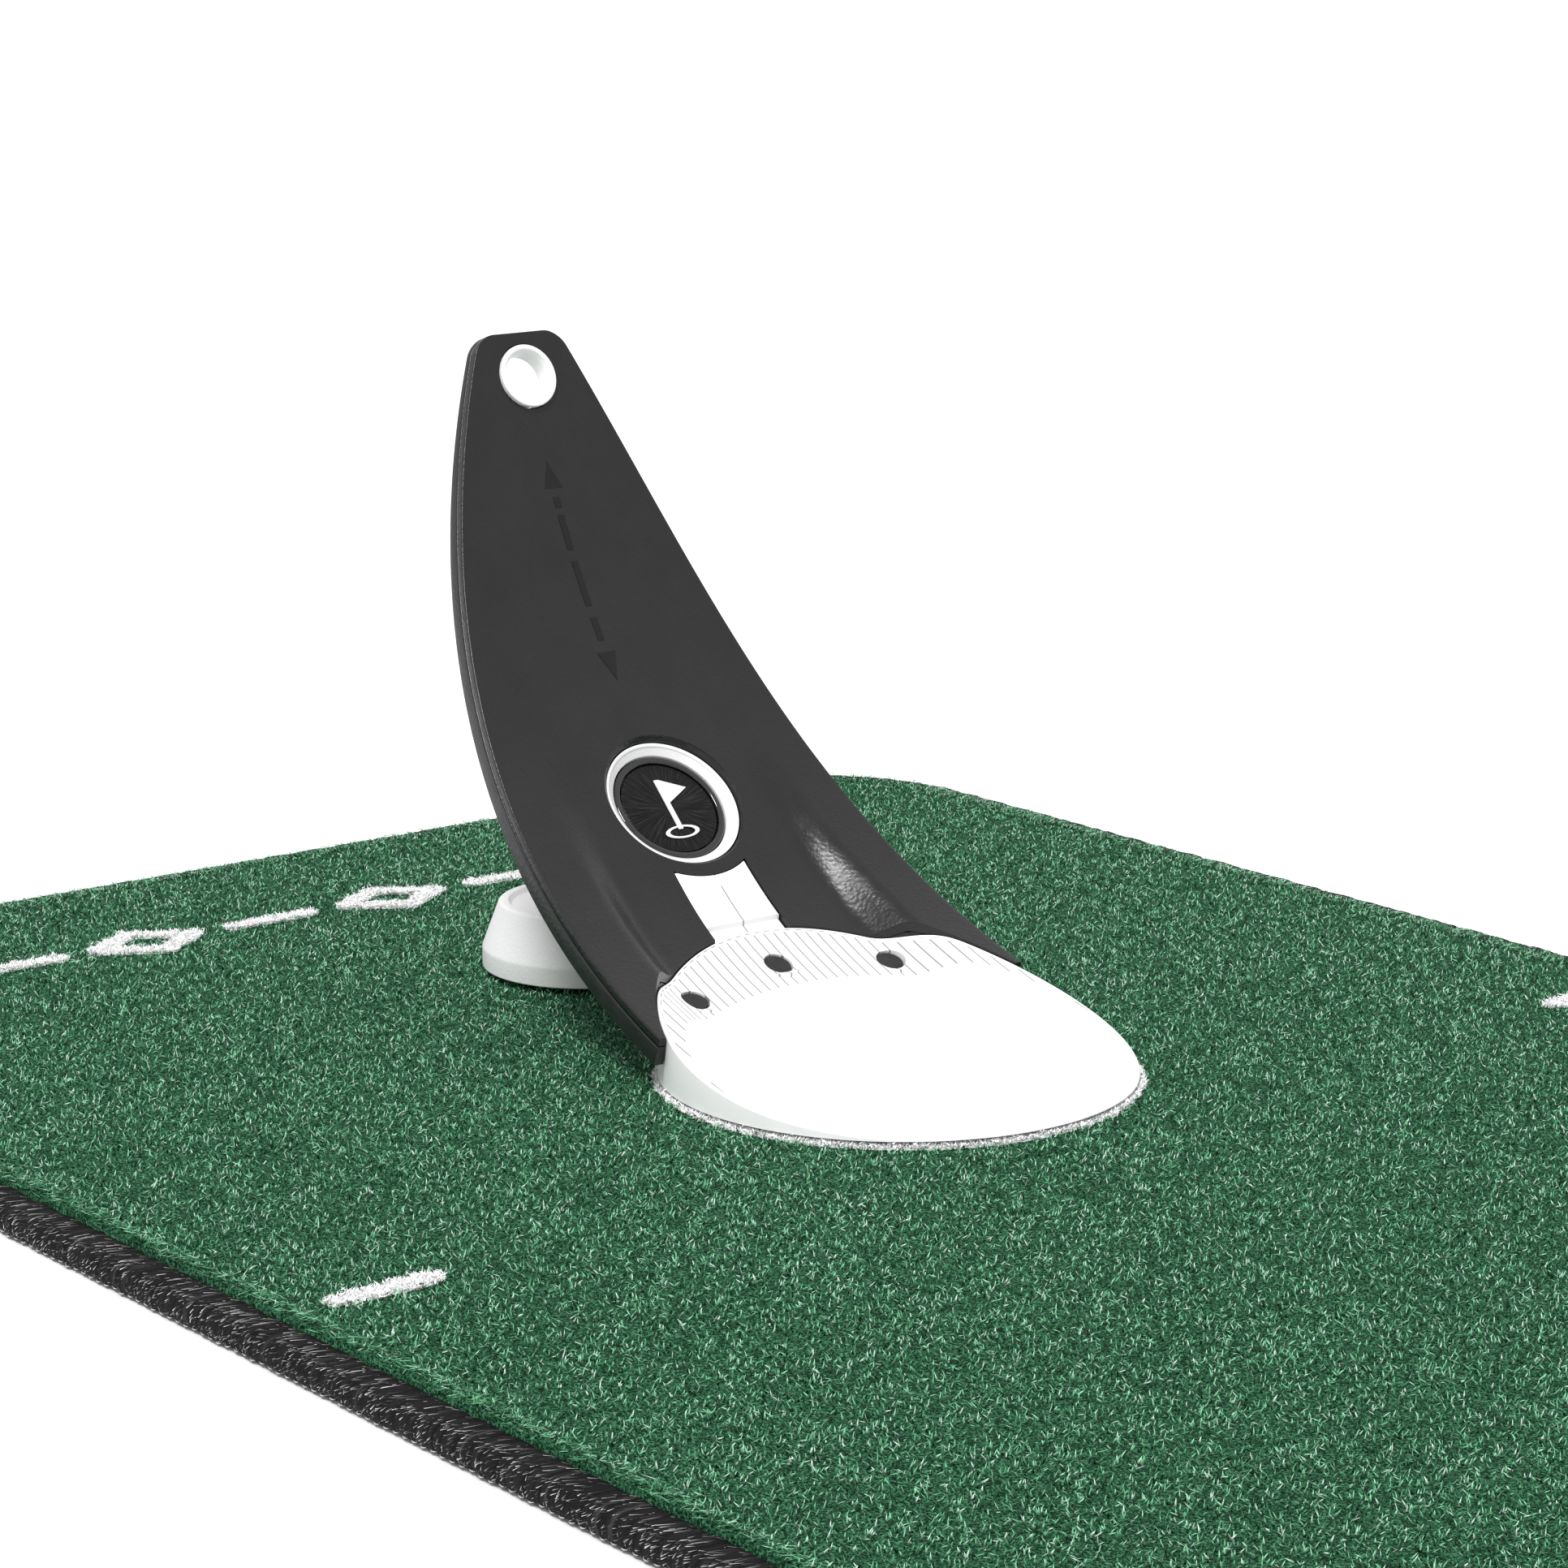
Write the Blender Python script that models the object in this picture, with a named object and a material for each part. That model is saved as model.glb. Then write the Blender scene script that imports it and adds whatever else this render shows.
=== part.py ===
"""Putting mat with a ball-return target ramp standing at its far end.

The frame: +Z is up, +X runs along the mat to its far end, the origin is on the floor under the
middle of the mat. All sizes are metres. The ramp and its leg are drawn from the middle of the lip
disc on the tips of the turf, which is where the empty trainer_base stands. The sliding target hangs
on the empty target_axis and the leg on the empty leg_hinge, each on its joint's axis.
"""
import math

import bmesh
import bpy
import numpy as np
from mathutils import Matrix, Vector

# ---- driving dimensions: mat ----
MAT_LENGTH = 2.400
MAT_WIDTH = 0.400
MAT_CORNER_RADIUS = 0.056
BINDING_WIDTH = 0.0095
BINDING_HEIGHT = 0.0062
BACKING_THICKNESS = 0.0042
TURF_TOP = 0.0085
CUP_TO_FAR_END = 0.268

# ---- driving dimensions: ramp ----
LIP_RADIUS = 0.0534
TOE_INSET = 0.0013
TOE_HALF_WIDTH = LIP_RADIUS - TOE_INSET
# Control points of the ramp's side edge: x along the mat, half-width, height over the turf.
EDGE_POINTS = ((0.0185, TOE_HALF_WIDTH, 0.0127), (0.0983, TOE_HALF_WIDTH - 0.0048, 0.0395),
               (0.1253, 0.0368, 0.0973), (0.1433, 0.0114, 0.1503))
TOP_CORNER = 0.0042
CHANNEL_DEPTH = 0.0059
CHANNEL_FLOOR_SHARE = 0.55
CHANNEL_BANK_SHARE = 0.75
CHANNEL_FADE_START = 0.045
CHANNEL_FADE_LENGTH = 0.047
SKIN_THICKNESS = 0.0020
RAMP_THICKNESS_LOW = 0.0070
RAMP_THICKNESS_TOP = 0.0040

# ---- driving dimensions: lip ----
LIP_EDGE_HEIGHT = 0.0007
LIP_REAR_STEP = 0.0004
LIP_BANK_STEP = 0.0003
LIP_BANK_START = 0.028
LIP_BANK_END = 0.044
LIP_WALL = 0.0022
LIP_PLATE = 0.0025
TONGUE_HALF_LOW = 0.0106
TONGUE_HALF_TOP = 0.0100
TONGUE_END_RADIUS = 0.0214
TONGUE_ROOT = 0.0065
TONGUE_ROOT_SINK = 0.0011
MIDDLE_PLUG_EDGE = 0.0104
SIDE_PLUG_EDGE = 0.0067
SIDE_PLUG_TURN = math.radians(37.34)
PLUG_RECESS = 0.0001
SCREW_END_BACK = 0.0002
PLUG_RADIUS = 0.0032
PLUG_THICKNESS = 0.0022
BOSS_RADIUS = 0.0048

# ---- driving dimensions: fasteners ----
SCREW_HEAD_RADIUS = 0.0026
SCREW_HEAD_HEIGHT = 0.0016
SCREW_SHANK_RADIUS = 0.0014
SMALL_HEAD_RADIUS = 0.0018
SMALL_HEAD_HEIGHT = 0.0012
SMALL_SHANK_RADIUS = 0.0010

# ---- driving dimensions: toe bracket ----
BRACKET_THICKNESS = 0.0030
BRACKET_HALF_WIDTH = 0.0115
BRACKET_BAR_SPARE = 0.0029
BRACKET_BAR_BEFORE = 0.0071
BRACKET_BAR_AFTER = 0.0031
BRACKET_ROOT = 0.0020
BRACKET_ROOM = 0.0016
BRACKET_TAIL = 0.0056
TAIL_SCREW_OUT = 0.0026
TAIL_SCREW_Y = 0.0065
TAIL_SCREW_BITE = 0.0040
SCREW_ROOM_DEPTH = 0.0045

# ---- driving dimensions: target ----
TARGET_X = 0.08177
TARGET_Z = 0.04717
TARGET_TILT = math.radians(44.4)
POCKET_RADIUS = 0.0173
POCKET_MOUTH_RADIUS = 0.0181
POCKET_CHAMFER = 0.0010
CUP_RIM_DROP = 0.0012
CUP_FUNNEL_DEPTH = 0.0018
DISC_RADIUS = 0.01426
DISC_DROP = 0.0031
CUP_FLOOR = 0.0108
CUP_BASE = 0.0016
CUP_FLANGE_RADIUS = 0.0238
CUP_FLANGE_DEPTH = 0.0076
CUP_FLANGE_THICKNESS = 0.0018
CUP_RIM_LAND = 0.0005
CUP_SCREW_CIRCLE = 0.0206
CUP_SCREW_BITE = 0.0038
STEM_RADIUS = 0.0029
STEM_GROOVE = 0.0006
BEZEL_WIDTH = 0.0016
BEZEL_HEIGHT = 0.0012
BEZEL_ROUND = 0.0004
BEZEL_CROWN = 0.0003
BADGE_THICKNESS = 0.0007
ICON_THICKNESS = 0.0003
ICON_LIFT = 0.0002
FLAG_TOP = 0.0078
FLAG_FOOT = -0.0062
FLAG_REACH = 0.0070
FLAG_DROP = 0.0062
POLE_HALF_WIDTH = 0.0005
HOLE_RING_OUTER = 0.0048
HOLE_RING_INNER = 0.0036
HOLE_RING_SQUEEZE = 0.36
HOLE_RING_DROP = 0.0008
PLUNGER_PLATE = 0.0018
SPRING_RADIUS = 0.0068
SPRING_WIRE = 0.0005
SPRING_TURNS = 3
CLIP_RADIUS = 0.0048
CLIP_THICKNESS = 0.0008

# ---- driving dimensions: hang grommet ----
GROMMET_X = 0.13893
GROMMET_Z = 0.14042
GROMMET_TILT = math.radians(67.5)
GROMMET_RADIUS = 0.0077
GROMMET_FLANGE = 0.0012
GROMMET_BARREL_RADIUS = 0.0069
GROMMET_BORE_RADIUS = 0.0057
GROMMET_THROUGH = 0.0012
GROMMET_PROUD = 0.0001
GROMMET_ROUND = 0.0004
GROMMET_CHAMFER = 0.0008
GROMMET_CHAMFER_DEPTH = 0.0012

# ---- driving dimensions: folding leg ----
HINGE_DEPTH = 0.0225
KNUCKLE_RADIUS = 0.0045
KNUCKLE_HALF_WIDTH = 0.0066
EAR_THICKNESS = 0.0034
WASHER_THICKNESS = 0.0008
WASHER_STEP = 0.0004
PIN_RADIUS = 0.0015
PIN_HEAD_RADIUS = 0.0028
PIN_HEAD_THICKNESS = 0.0010
HINGE_PLATE_THICKNESS = 0.0020
HINGE_PLATE_RADIUS = 0.0160
HINGE_SCREW_CIRCLE = 0.0128
HINGE_SCREW_BITE = 0.0008
STRUT_RADIUS = 0.0045
STRUT_BOSS_RADIUS = 0.0110
STRUT_BOSS_HEIGHT = 0.0038
STRUT_BOSS_BAND = 0.0014
STRUT_BOSS_BEVEL = 0.0022
STRUT_BAR_LESS = 0.0003
STRUT_END_BACK = 0.0035
STRUT_END_SINK = 0.0008
STRUT_THREAD = 0.0028
FOOT_X = 0.1180
FOOT_RADIUS = 0.0250
FOOT_BAND = 0.0050
FOOT_TOP_RADIUS = 0.0208
FOOT_HEIGHT = 0.0163
FOOT_DISH_RADIUS = 0.0186
FOOT_DISH_DEPTH = 0.0012
FOOT_RIM = 0.0024
FOOT_EDGE_ROUND = 0.0005
FOOT_BAND_ROUND = 0.0004
FOOT_DISH_BEVEL = 0.0008
FOOT_ROOF = 0.0050
PAD_THICKNESS = 0.0016
WEIGHT_RADIUS = 0.0195
WEIGHT_THICKNESS = 0.0055
WEIGHT_SCREW_SEAT = 0.0025
FOOT_SCREW_HEAD_RADIUS = 0.0036

# ---- clearances and mesh fineness ----
GAP = 0.0003
RUNNING_GAP = 0.0003
OVERCUT = 0.004
THROUGH_CUT = 0.020
# Round cuts on the middle line start at this turn, so that no corner of theirs lies on it.
ROUND_CUT_TURN = math.radians(4.0)
EAR_OVERLAP = 0.0006
BAR_OVERLAP = 0.0001
ROUND_SEGMENTS = 40
SMALL_SEGMENTS = 16
DISC_SEGMENTS = 48
RAMP_STATIONS = 26

# What follows from the driving dimensions.
CUP_X = MAT_LENGTH / 2 - CUP_TO_FAR_END
SIDE_PLUG_X = (LIP_RADIUS - SIDE_PLUG_EDGE) * math.cos(SIDE_PLUG_TURN)
SIDE_PLUG_Y = (LIP_RADIUS - SIDE_PLUG_EDGE) * math.sin(SIDE_PLUG_TURN)
PLUG_SPOTS = ((LIP_RADIUS - MIDDLE_PLUG_EDGE, 0.0), (SIDE_PLUG_X, SIDE_PLUG_Y),
              (SIDE_PLUG_X, -SIDE_PLUG_Y))
BAR_START, BAR_END = SIDE_PLUG_X - BRACKET_BAR_BEFORE, SIDE_PLUG_X + BRACKET_BAR_AFTER
TAIL_SCREW_X = LIP_RADIUS + TAIL_SCREW_OUT
BRACKET_TAIL_END = LIP_RADIUS + BRACKET_TAIL
CUP_OUTER = POCKET_RADIUS - GAP
CUP_INNER = DISC_RADIUS + RUNNING_GAP
CUP_BACK = CUP_FLOOR + CUP_BASE

# Finishes: base colour, roughness, metallic.
WHITE = ((0.86, 0.86, 0.87), 0.42, 0.0)
BLACK = ((0.028, 0.028, 0.030), 0.5, 0.0)
GLOSS = ((0.012, 0.012, 0.014), 0.12, 0.0)
BRUSHED = ((0.02, 0.02, 0.022), 0.3, 0.8)
STEEL = ((0.6, 0.6, 0.62), 0.3, 1.0)
RUBBER = ((0.02, 0.02, 0.02), 0.8, 0.0)
PILE = ((0.05, 0.19, 0.10), 0.85, 0.0)
YARN = ((0.02, 0.02, 0.022), 0.75, 0.0)
NYLON = ((0.75, 0.75, 0.72), 0.5, 0.0)

for old_object in list(bpy.data.objects):
    bpy.data.objects.remove(old_object, do_unlink=True)


# ---- helpers: empties, materials, meshes ----
def joint_empty(name, place, parent=None):
    """An empty that pieces hang on, at a matrix relative to its parent."""
    empty = bpy.data.objects.new(name, None)
    bpy.context.scene.collection.objects.link(empty)
    empty.parent = parent
    empty.matrix_local = place
    return empty


def own_material(name, finish):
    """A Principled material for one piece: its base colour, roughness and metallic value."""
    colour, roughness, metallic = finish
    material = bpy.data.materials.new(name + "_finish")
    material.use_nodes = True
    shader = material.node_tree.nodes["Principled BSDF"]
    shader.inputs["Base Color"].default_value = (*colour, 1.0)
    shader.inputs["Roughness"].default_value = roughness
    shader.inputs["Metallic"].default_value = metallic
    return material


def add_object(name, vertices, faces, finish, parent):
    """A named object from points and faces, with its faces turned outwards, hung on an empty."""
    mesh = bpy.data.meshes.new(name)
    mesh.from_pydata([tuple(v) for v in vertices], [], faces)
    work = bmesh.new()
    work.from_mesh(mesh)
    bmesh.ops.recalc_face_normals(work, faces=work.faces)
    work.to_mesh(mesh)
    work.free()
    if finish:
        mesh.materials.append(own_material(name, finish))
    new_object = bpy.data.objects.new(name, mesh)
    bpy.context.scene.collection.objects.link(new_object)
    new_object.parent = parent
    return new_object


def shade_round(target, angle=40):
    """Smooth shading that keeps the edges sharper than the angle in degrees."""
    target.data.shade_smooth()
    target.data.set_sharp_from_angle(angle=math.radians(angle))


def boolean(target, tool, operation="DIFFERENCE"):
    """Cut or join a tool, which is then left out of the model."""
    modifier = target.modifiers.new(tool.name, "BOOLEAN")
    modifier.object = tool
    modifier.operation = operation
    modifier.solver = "EXACT"
    tool.hide_render = True
    tool.display_type = "WIRE"
    return target


def grid_faces(rows, columns, closed_rows=False, closed_columns=False, first=0):
    """Quads of a rows x columns grid of points, wrapped round where it is closed."""
    faces = []
    for i in range(rows if closed_rows else rows - 1):
        for j in range(columns if closed_columns else columns - 1):
            i_next, j_next = (i + 1) % rows, (j + 1) % columns
            faces.append((first + i * columns + j, first + i_next * columns + j,
                          first + i_next * columns + j_next, first + i * columns + j_next))
    return faces


def shifted(x, y, z):
    return Matrix.Translation((x, y, z))


def frame_of(x, z, tilt):
    """A matrix whose Z axis is the outward normal of a surface rising at tilt, at (x, 0, z)."""
    return shifted(x, 0.0, z) @ Matrix.Rotation(-tilt, 4, "Y")


# Half a turn about X, and a quarter turn that carries an (x, z) outline along Y.
TURNED_OVER = Matrix.Rotation(math.pi, 4, "X")
SIDEWAYS = Matrix.Rotation(math.radians(90), 4, "X")
TARGET_FRAME = frame_of(TARGET_X, TARGET_Z, TARGET_TILT)
GROMMET_FRAME = frame_of(GROMMET_X, GROMMET_Z, GROMMET_TILT)
# The hinge is on the target's axis; this matrix has its Z axis along the pin.
HINGE_FRAME = (Matrix.Translation(TARGET_FRAME @ Vector((0, 0, -HINGE_DEPTH)))
               @ Matrix.Rotation(math.radians(-90), 4, "X"))
TRAINER_BASE = joint_empty("trainer_base", shifted(CUP_X, 0.0, TURF_TOP))
TARGET_AXIS = joint_empty("target_axis", TARGET_FRAME, TRAINER_BASE)
LEG_HINGE = joint_empty("leg_hinge", HINGE_FRAME, TRAINER_BASE)


def turned_body(name, profile, place, finish=None, segments=ROUND_SEGMENTS, parent=TRAINER_BASE):
    """Spin a closed (radius, height) outline round the Z axis of a matrix."""
    vertices, faces, rings = [], [], []
    for radius, height in profile:
        if radius == 0.0:
            rings.append([len(vertices)] * segments)
            vertices.append(place @ Vector((0, 0, height)))
            continue
        rings.append(list(range(len(vertices), len(vertices) + segments)))
        for k in range(segments):
            turn = 2 * math.pi * k / segments
            vertices.append(place @ Vector((radius * math.cos(turn), radius * math.sin(turn), height)))
    count = len(profile)
    for i in range(count):
        a, b = rings[i], rings[(i + 1) % count]
        if a[0] == a[1] and b[0] == b[1]:
            continue
        for k in range(segments):
            n = (k + 1) % segments
            corners = (a[k], a[n], b[n], b[k])
            faces.append(tuple(dict.fromkeys(corners)))
    body = add_object(name, vertices, faces, finish, parent)
    shade_round(body)
    return body


def rod(name, radius, low, high, place, finish=None, segments=SMALL_SEGMENTS, parent=TRAINER_BASE):
    """A plain cylinder along the Z axis of a matrix."""
    profile = ((0.0, low), (radius, low), (radius, high), (0.0, high))
    return turned_body(name, profile, place, finish, segments, parent)


def prism(name, outline, low, high, place, finish=None, parent=TRAINER_BASE):
    """Carry a flat (x, y) outline along the Z axis of a matrix."""
    count = len(outline)
    vertices = [place @ Vector((x, y, height)) for height in (low, high) for x, y in outline]
    faces = grid_faces(2, count, closed_columns=True)
    faces += [tuple(range(count)), tuple(range(count, 2 * count))]
    return add_object(name, vertices, faces, finish, parent)


def screw(name, place, head_radius, head_height, shank_radius, length, parent=TRAINER_BASE):
    """A pan-head screw: the head sits above the matrix's origin and the shank runs down -Z."""
    profile = ((0.0, -length), (shank_radius, -length), (shank_radius, 0.0), (head_radius, 0.0),
               (head_radius, 0.6 * head_height), (0.75 * head_radius, head_height), (0.0, head_height))
    return turned_body(name, profile, place, STEEL, SMALL_SEGMENTS, parent)


# ---- mat ----
def rounded_rectangle(half_length, half_width, radius, steps=7):
    """The corners of a rectangle with round corners, anticlockwise from the far right one."""
    outline = []
    for sign_x, sign_y, start in ((1, 1, 0), (-1, 1, 90), (-1, -1, 180), (1, -1, 270)):
        for k in range(steps + 1):
            turn = math.radians(start + 90 * k / steps)
            outline.append((sign_x * (half_length - radius) + radius * math.cos(turn),
                            sign_y * (half_width - radius) + radius * math.sin(turn)))
    return outline


def mat_outline(inset):
    """The mat's outline, moved in from its outer edge."""
    return rounded_rectangle(MAT_LENGTH / 2 - inset, MAT_WIDTH / 2 - inset, MAT_CORNER_RADIUS - inset)


def build_mat():
    """Rubber backing, turf pile on it, and the yarn-bound edge round both."""
    inside = mat_outline(BINDING_WIDTH + GAP)
    prism("mat_backing", inside, 0.0, BACKING_THICKNESS, Matrix(), RUBBER, None)
    prism("mat_turf", inside, BACKING_THICKNESS + GAP, TURF_TOP, Matrix(), PILE, None)
    bulge = 0.5 * BINDING_HEIGHT
    section = [(BINDING_WIDTH, BINDING_HEIGHT), (BINDING_WIDTH, 0.0), (bulge, 0.0)]
    steps = 7
    for k in range(1, steps):
        turn = math.pi * k / steps
        section.append((bulge * (1 - math.sin(turn)), bulge * (1 - math.cos(turn))))
    section.append((bulge, BINDING_HEIGHT))
    vertices = []
    for inset, height in section:
        vertices += [(x, y, height) for x, y in mat_outline(inset)]
    around = len(mat_outline(0.0))
    faces = grid_faces(len(section), around, closed_rows=True, closed_columns=True)
    binding = add_object("mat_edge_binding", vertices, faces, YARN, None)
    shade_round(binding, 50)


# ---- ramp surface ----
def smooth_step(value):
    """0 below 0, 1 above 1, and 3t^2 - 2t^3 between."""
    t = min(max(value, 0.0), 1.0)
    return t * t * (3 - 2 * t)


def edge_point(u):
    """The ramp's side edge: a cubic Bezier curve through the driving points."""
    a, b, c, d = (np.array(p) for p in EDGE_POINTS)
    return (1 - u)**3 * a + 3 * (1 - u)**2 * u * b + 3 * (1 - u) * u * u * c + u**3 * d


def edge_normal(u):
    """The unit normal of the edge curve in its own plane, pointing to the ball's side."""
    step = 0.001
    x, _, z = edge_point(u + step) - edge_point(u - step)
    return np.array((-z, x)) / math.hypot(x, z)


def ramp_point(u, share, depth, half_width=None):
    """A point of the ramp at u along it and at a share of its half-width, sunk by depth."""
    x, width, z = edge_point(u)
    to_top = math.dist(edge_point(1.0)[::2], (x, z))
    if to_top < TOP_CORNER:
        width -= TOP_CORNER * (1 - math.sqrt(1 - (1 - to_top / TOP_CORNER)**2))
    y = share * (width if half_width is None else half_width)
    from_middle = abs(y) / width
    floor = 1 - smooth_step((from_middle - CHANNEL_FLOOR_SHARE)
                            / (CHANNEL_BANK_SHARE - CHANNEL_FLOOR_SHARE))
    fade = 1 - smooth_step((x - CHANNEL_FADE_START) / CHANNEL_FADE_LENGTH)
    sunk = depth + CHANNEL_DEPTH * floor * fade
    normal = edge_normal(u)
    return Vector((x - normal[0] * sunk, y, z - normal[1] * sunk))


def ramp_thickness(u):
    """Full thickness of skin and shell, thinning towards the top."""
    return RAMP_THICKNESS_TOP + (RAMP_THICKNESS_LOW - RAMP_THICKNESS_TOP) * (1 - u**3)


def u_at_x(x):
    """Where along the ramp the edge curve passes x, by halving the interval."""
    low, high = 0.0, 1.0
    for _ in range(40):
        middle = 0.5 * (low + high)
        if edge_point(middle)[0] < x:
            low = middle
        else:
            high = middle
    return 0.5 * (low + high)


def ramp_slab(name, front, back, stations, shares, finish, half_widths=None):
    """A closed sheet between two depths under the ramp's face."""
    vertices = []
    for depth in (front, back):
        for i, u in enumerate(stations):
            wide = half_widths[i] if half_widths else None
            sunk = depth(u) if callable(depth) else depth
            vertices += [ramp_point(u, share, sunk, wide) for share in shares]
    rows, columns = len(stations), len(shares)
    layer = rows * columns
    faces = grid_faces(rows, columns) + grid_faces(rows, columns, first=layer)
    rim = list(range(columns))
    rim += [i * columns + columns - 1 for i in range(1, rows)]
    rim += [(rows - 1) * columns + j for j in range(columns - 2, -1, -1)]
    rim += [i * columns for i in range(rows - 2, 0, -1)]
    for a, b in zip(rim, rim[1:] + rim[:1]):
        faces.append((a, b, b + layer, a + layer))
    return add_object(name, vertices, faces, finish, TRAINER_BASE)


RAMP_SHARES = [-1.0, -0.88, -0.76, -0.70, -0.65, -0.60, -0.54, -0.30,
               0.0, 0.30, 0.54, 0.60, 0.65, 0.70, 0.76, 0.88, 1.0]


def ramp_stations():
    """Even steps up the ramp, with close ones round the top corners."""
    even = [0.95 * k / (RAMP_STATIONS - 1) for k in range(RAMP_STATIONS)]
    return even + [0.965, 0.975, 0.983, 0.989, 0.994, 0.998, 1.0]


def tongue_slab(name, front, back, spare):
    """The strip that runs up the channel, ended by an arc round the target."""
    start, end = u_at_x(LIP_RADIUS - TONGUE_ROOT), u_at_x(TARGET_X - 0.37 * TONGUE_END_RADIUS)
    steps = 9
    stations = [start + (end - start) * k / (steps - 1) for k in range(steps)]
    top_u = u_at_x(TARGET_X - 0.6 * TONGUE_END_RADIUS)
    widths = [TONGUE_HALF_LOW + (TONGUE_HALF_TOP - TONGUE_HALF_LOW) * (u - start) / (top_u - start)
              + spare for u in stations]
    strip = ramp_slab(name, front, back, stations, [-1.0, -0.4, 0.4, 1.0], None, widths)
    end_cut = rod(name + "_end", TONGUE_END_RADIUS - spare, -THROUGH_CUT, THROUGH_CUT, TARGET_FRAME,
                  segments=ROUND_SEGMENTS * 2)
    return boolean(strip, end_cut)


def lip_cutter(name):
    """The room that the lip disc takes out of the ramp's lower end."""
    return rod(name, LIP_RADIUS + GAP, -THROUGH_CUT, 4 * THROUGH_CUT, Matrix(),
               segments=ROUND_SEGMENTS * 2)


def build_ramp():
    """Front skin with its channel, and the back shell that carries it."""
    skin = ramp_slab("ramp_skin", 0.0, SKIN_THICKNESS, ramp_stations(), RAMP_SHARES, BLACK)
    shell = ramp_slab("ramp_back_shell", SKIN_THICKNESS + GAP, ramp_thickness, ramp_stations(),
                      RAMP_SHARES, BLACK)
    slot = tongue_slab("tongue_slot", -OVERCUT, SKIN_THICKNESS + OVERCUT, GAP)
    mouth = ((0.0, OVERCUT), (POCKET_MOUTH_RADIUS, OVERCUT), (POCKET_MOUTH_RADIUS, 0.0),
             (POCKET_RADIUS, -POCKET_CHAMFER), (POCKET_RADIUS, -THROUGH_CUT), (0.0, -THROUGH_CUT))
    pocket = turned_body("pocket_cut", mouth, TARGET_FRAME)
    eye_skin = rod("eye_cut_skin", GROMMET_RADIUS + GAP, -THROUGH_CUT, THROUGH_CUT, GROMMET_FRAME,
                   segments=ROUND_SEGMENTS)
    eye_shell = rod("eye_cut_shell", GROMMET_BARREL_RADIUS + GAP, -THROUGH_CUT, THROUGH_CUT,
                    GROMMET_FRAME, segments=ROUND_SEGMENTS)
    disc_room = lip_cutter("lip_room")
    for tool in (disc_room, slot, pocket, eye_skin):
        boolean(skin, tool)
    for tool in (disc_room, pocket, eye_shell):
        boolean(shell, tool)
    for place in tail_screw_places() + cup_screw_places():
        boolean(shell, rod("screw_room", SMALL_SHANK_RADIUS + GAP, -SCREW_ROOM_DEPTH, OVERCUT, place))
    shade_round(skin)
    shade_round(shell)


# ---- lip disc ----
def channel_height(x):
    """The height of the ramp's channel over the turf at x, by halving the interval."""
    low, high = 0.0, 1.0
    for _ in range(40):
        middle = 0.5 * (low + high)
        if ramp_point(middle, 0.0, 0.0).x < x:
            low = middle
        else:
            high = middle
    return ramp_point(low, 0.0, 0.0).z


# The lip's channel meets the ramp's at its rear, and its banks meet the ramp's toe.
LIP_FLOOR_RISE = channel_height(LIP_RADIUS) - LIP_REAR_STEP - LIP_EDGE_HEIGHT
LIP_FLOOR_CURVE = LIP_FLOOR_RISE / (2 * LIP_RADIUS)**3
LIP_BANK_RISE = EDGE_POINTS[0][2] - LIP_BANK_STEP - LIP_EDGE_HEIGHT
LIP_BANK_CURVE = LIP_BANK_RISE / (EDGE_POINTS[0][0] + LIP_RADIUS)**2


def lip_height(x, y):
    """The lip's top: a cubic rise from its front edge in the channel, a parabola in the banks."""
    from_front = x + LIP_RADIUS
    bank = smooth_step((abs(y) - LIP_BANK_START) / (LIP_BANK_END - LIP_BANK_START))
    floor_rise = LIP_FLOOR_CURVE * from_front**3
    return LIP_EDGE_HEIGHT + (1 - bank) * floor_rise + bank * LIP_BANK_CURVE * from_front**2


# The bosses reach down to the bracket, which lies just under the lip's plate at its front.
BOSS_BOTTOM = lip_height(BAR_START, 0.0) - LIP_PLATE - BRACKET_ROOM


def lip_slope(x):
    """The angle of the lip's channel at x."""
    return math.atan(3 * LIP_FLOOR_CURVE * (x + LIP_RADIUS)**2)


def lip_body(name, radius, sink, bottom, finish=None, segments=64):
    """A disc whose top follows the lip, sunk by sink, down to a flat bottom."""
    shares = [0.0, 0.25, 0.45, 0.6, 0.7, 0.8, 0.9, 1.0]
    vertices = [(0, 0, lip_height(0, 0) - sink)]
    for share in shares[1:]:
        for k in range(segments):
            turn = 2 * math.pi * k / segments
            x, y = share * radius * math.cos(turn), share * radius * math.sin(turn)
            vertices.append((x, y, lip_height(x, y) - sink))
    last = len(vertices)
    for k in range(segments):
        turn = 2 * math.pi * k / segments
        vertices.append((radius * math.cos(turn), radius * math.sin(turn), bottom))
    faces = [(0, 1 + k, 1 + (k + 1) % segments) for k in range(segments)]
    faces += grid_faces(len(shares), segments, closed_columns=True, first=1)
    faces.append(tuple(range(last, last + segments)))
    return add_object(name, vertices, faces, finish, TRAINER_BASE)


def plug_frame(x, y):
    """A matrix on the lip's top at (x, y), square to its channel."""
    return (shifted(x, y, lip_height(x, 0.0)) @ Matrix.Rotation(-lip_slope(x), 4, "Y")
            @ Matrix.Rotation(ROUND_CUT_TURN, 4, "Z"))


def tongue_front(u):
    """How far the tongue's face is sunk: flush with the skin outside the disc, under its top inside."""
    return TONGUE_ROOT_SINK if edge_point(u)[0] < LIP_RADIUS else 0.0


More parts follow.
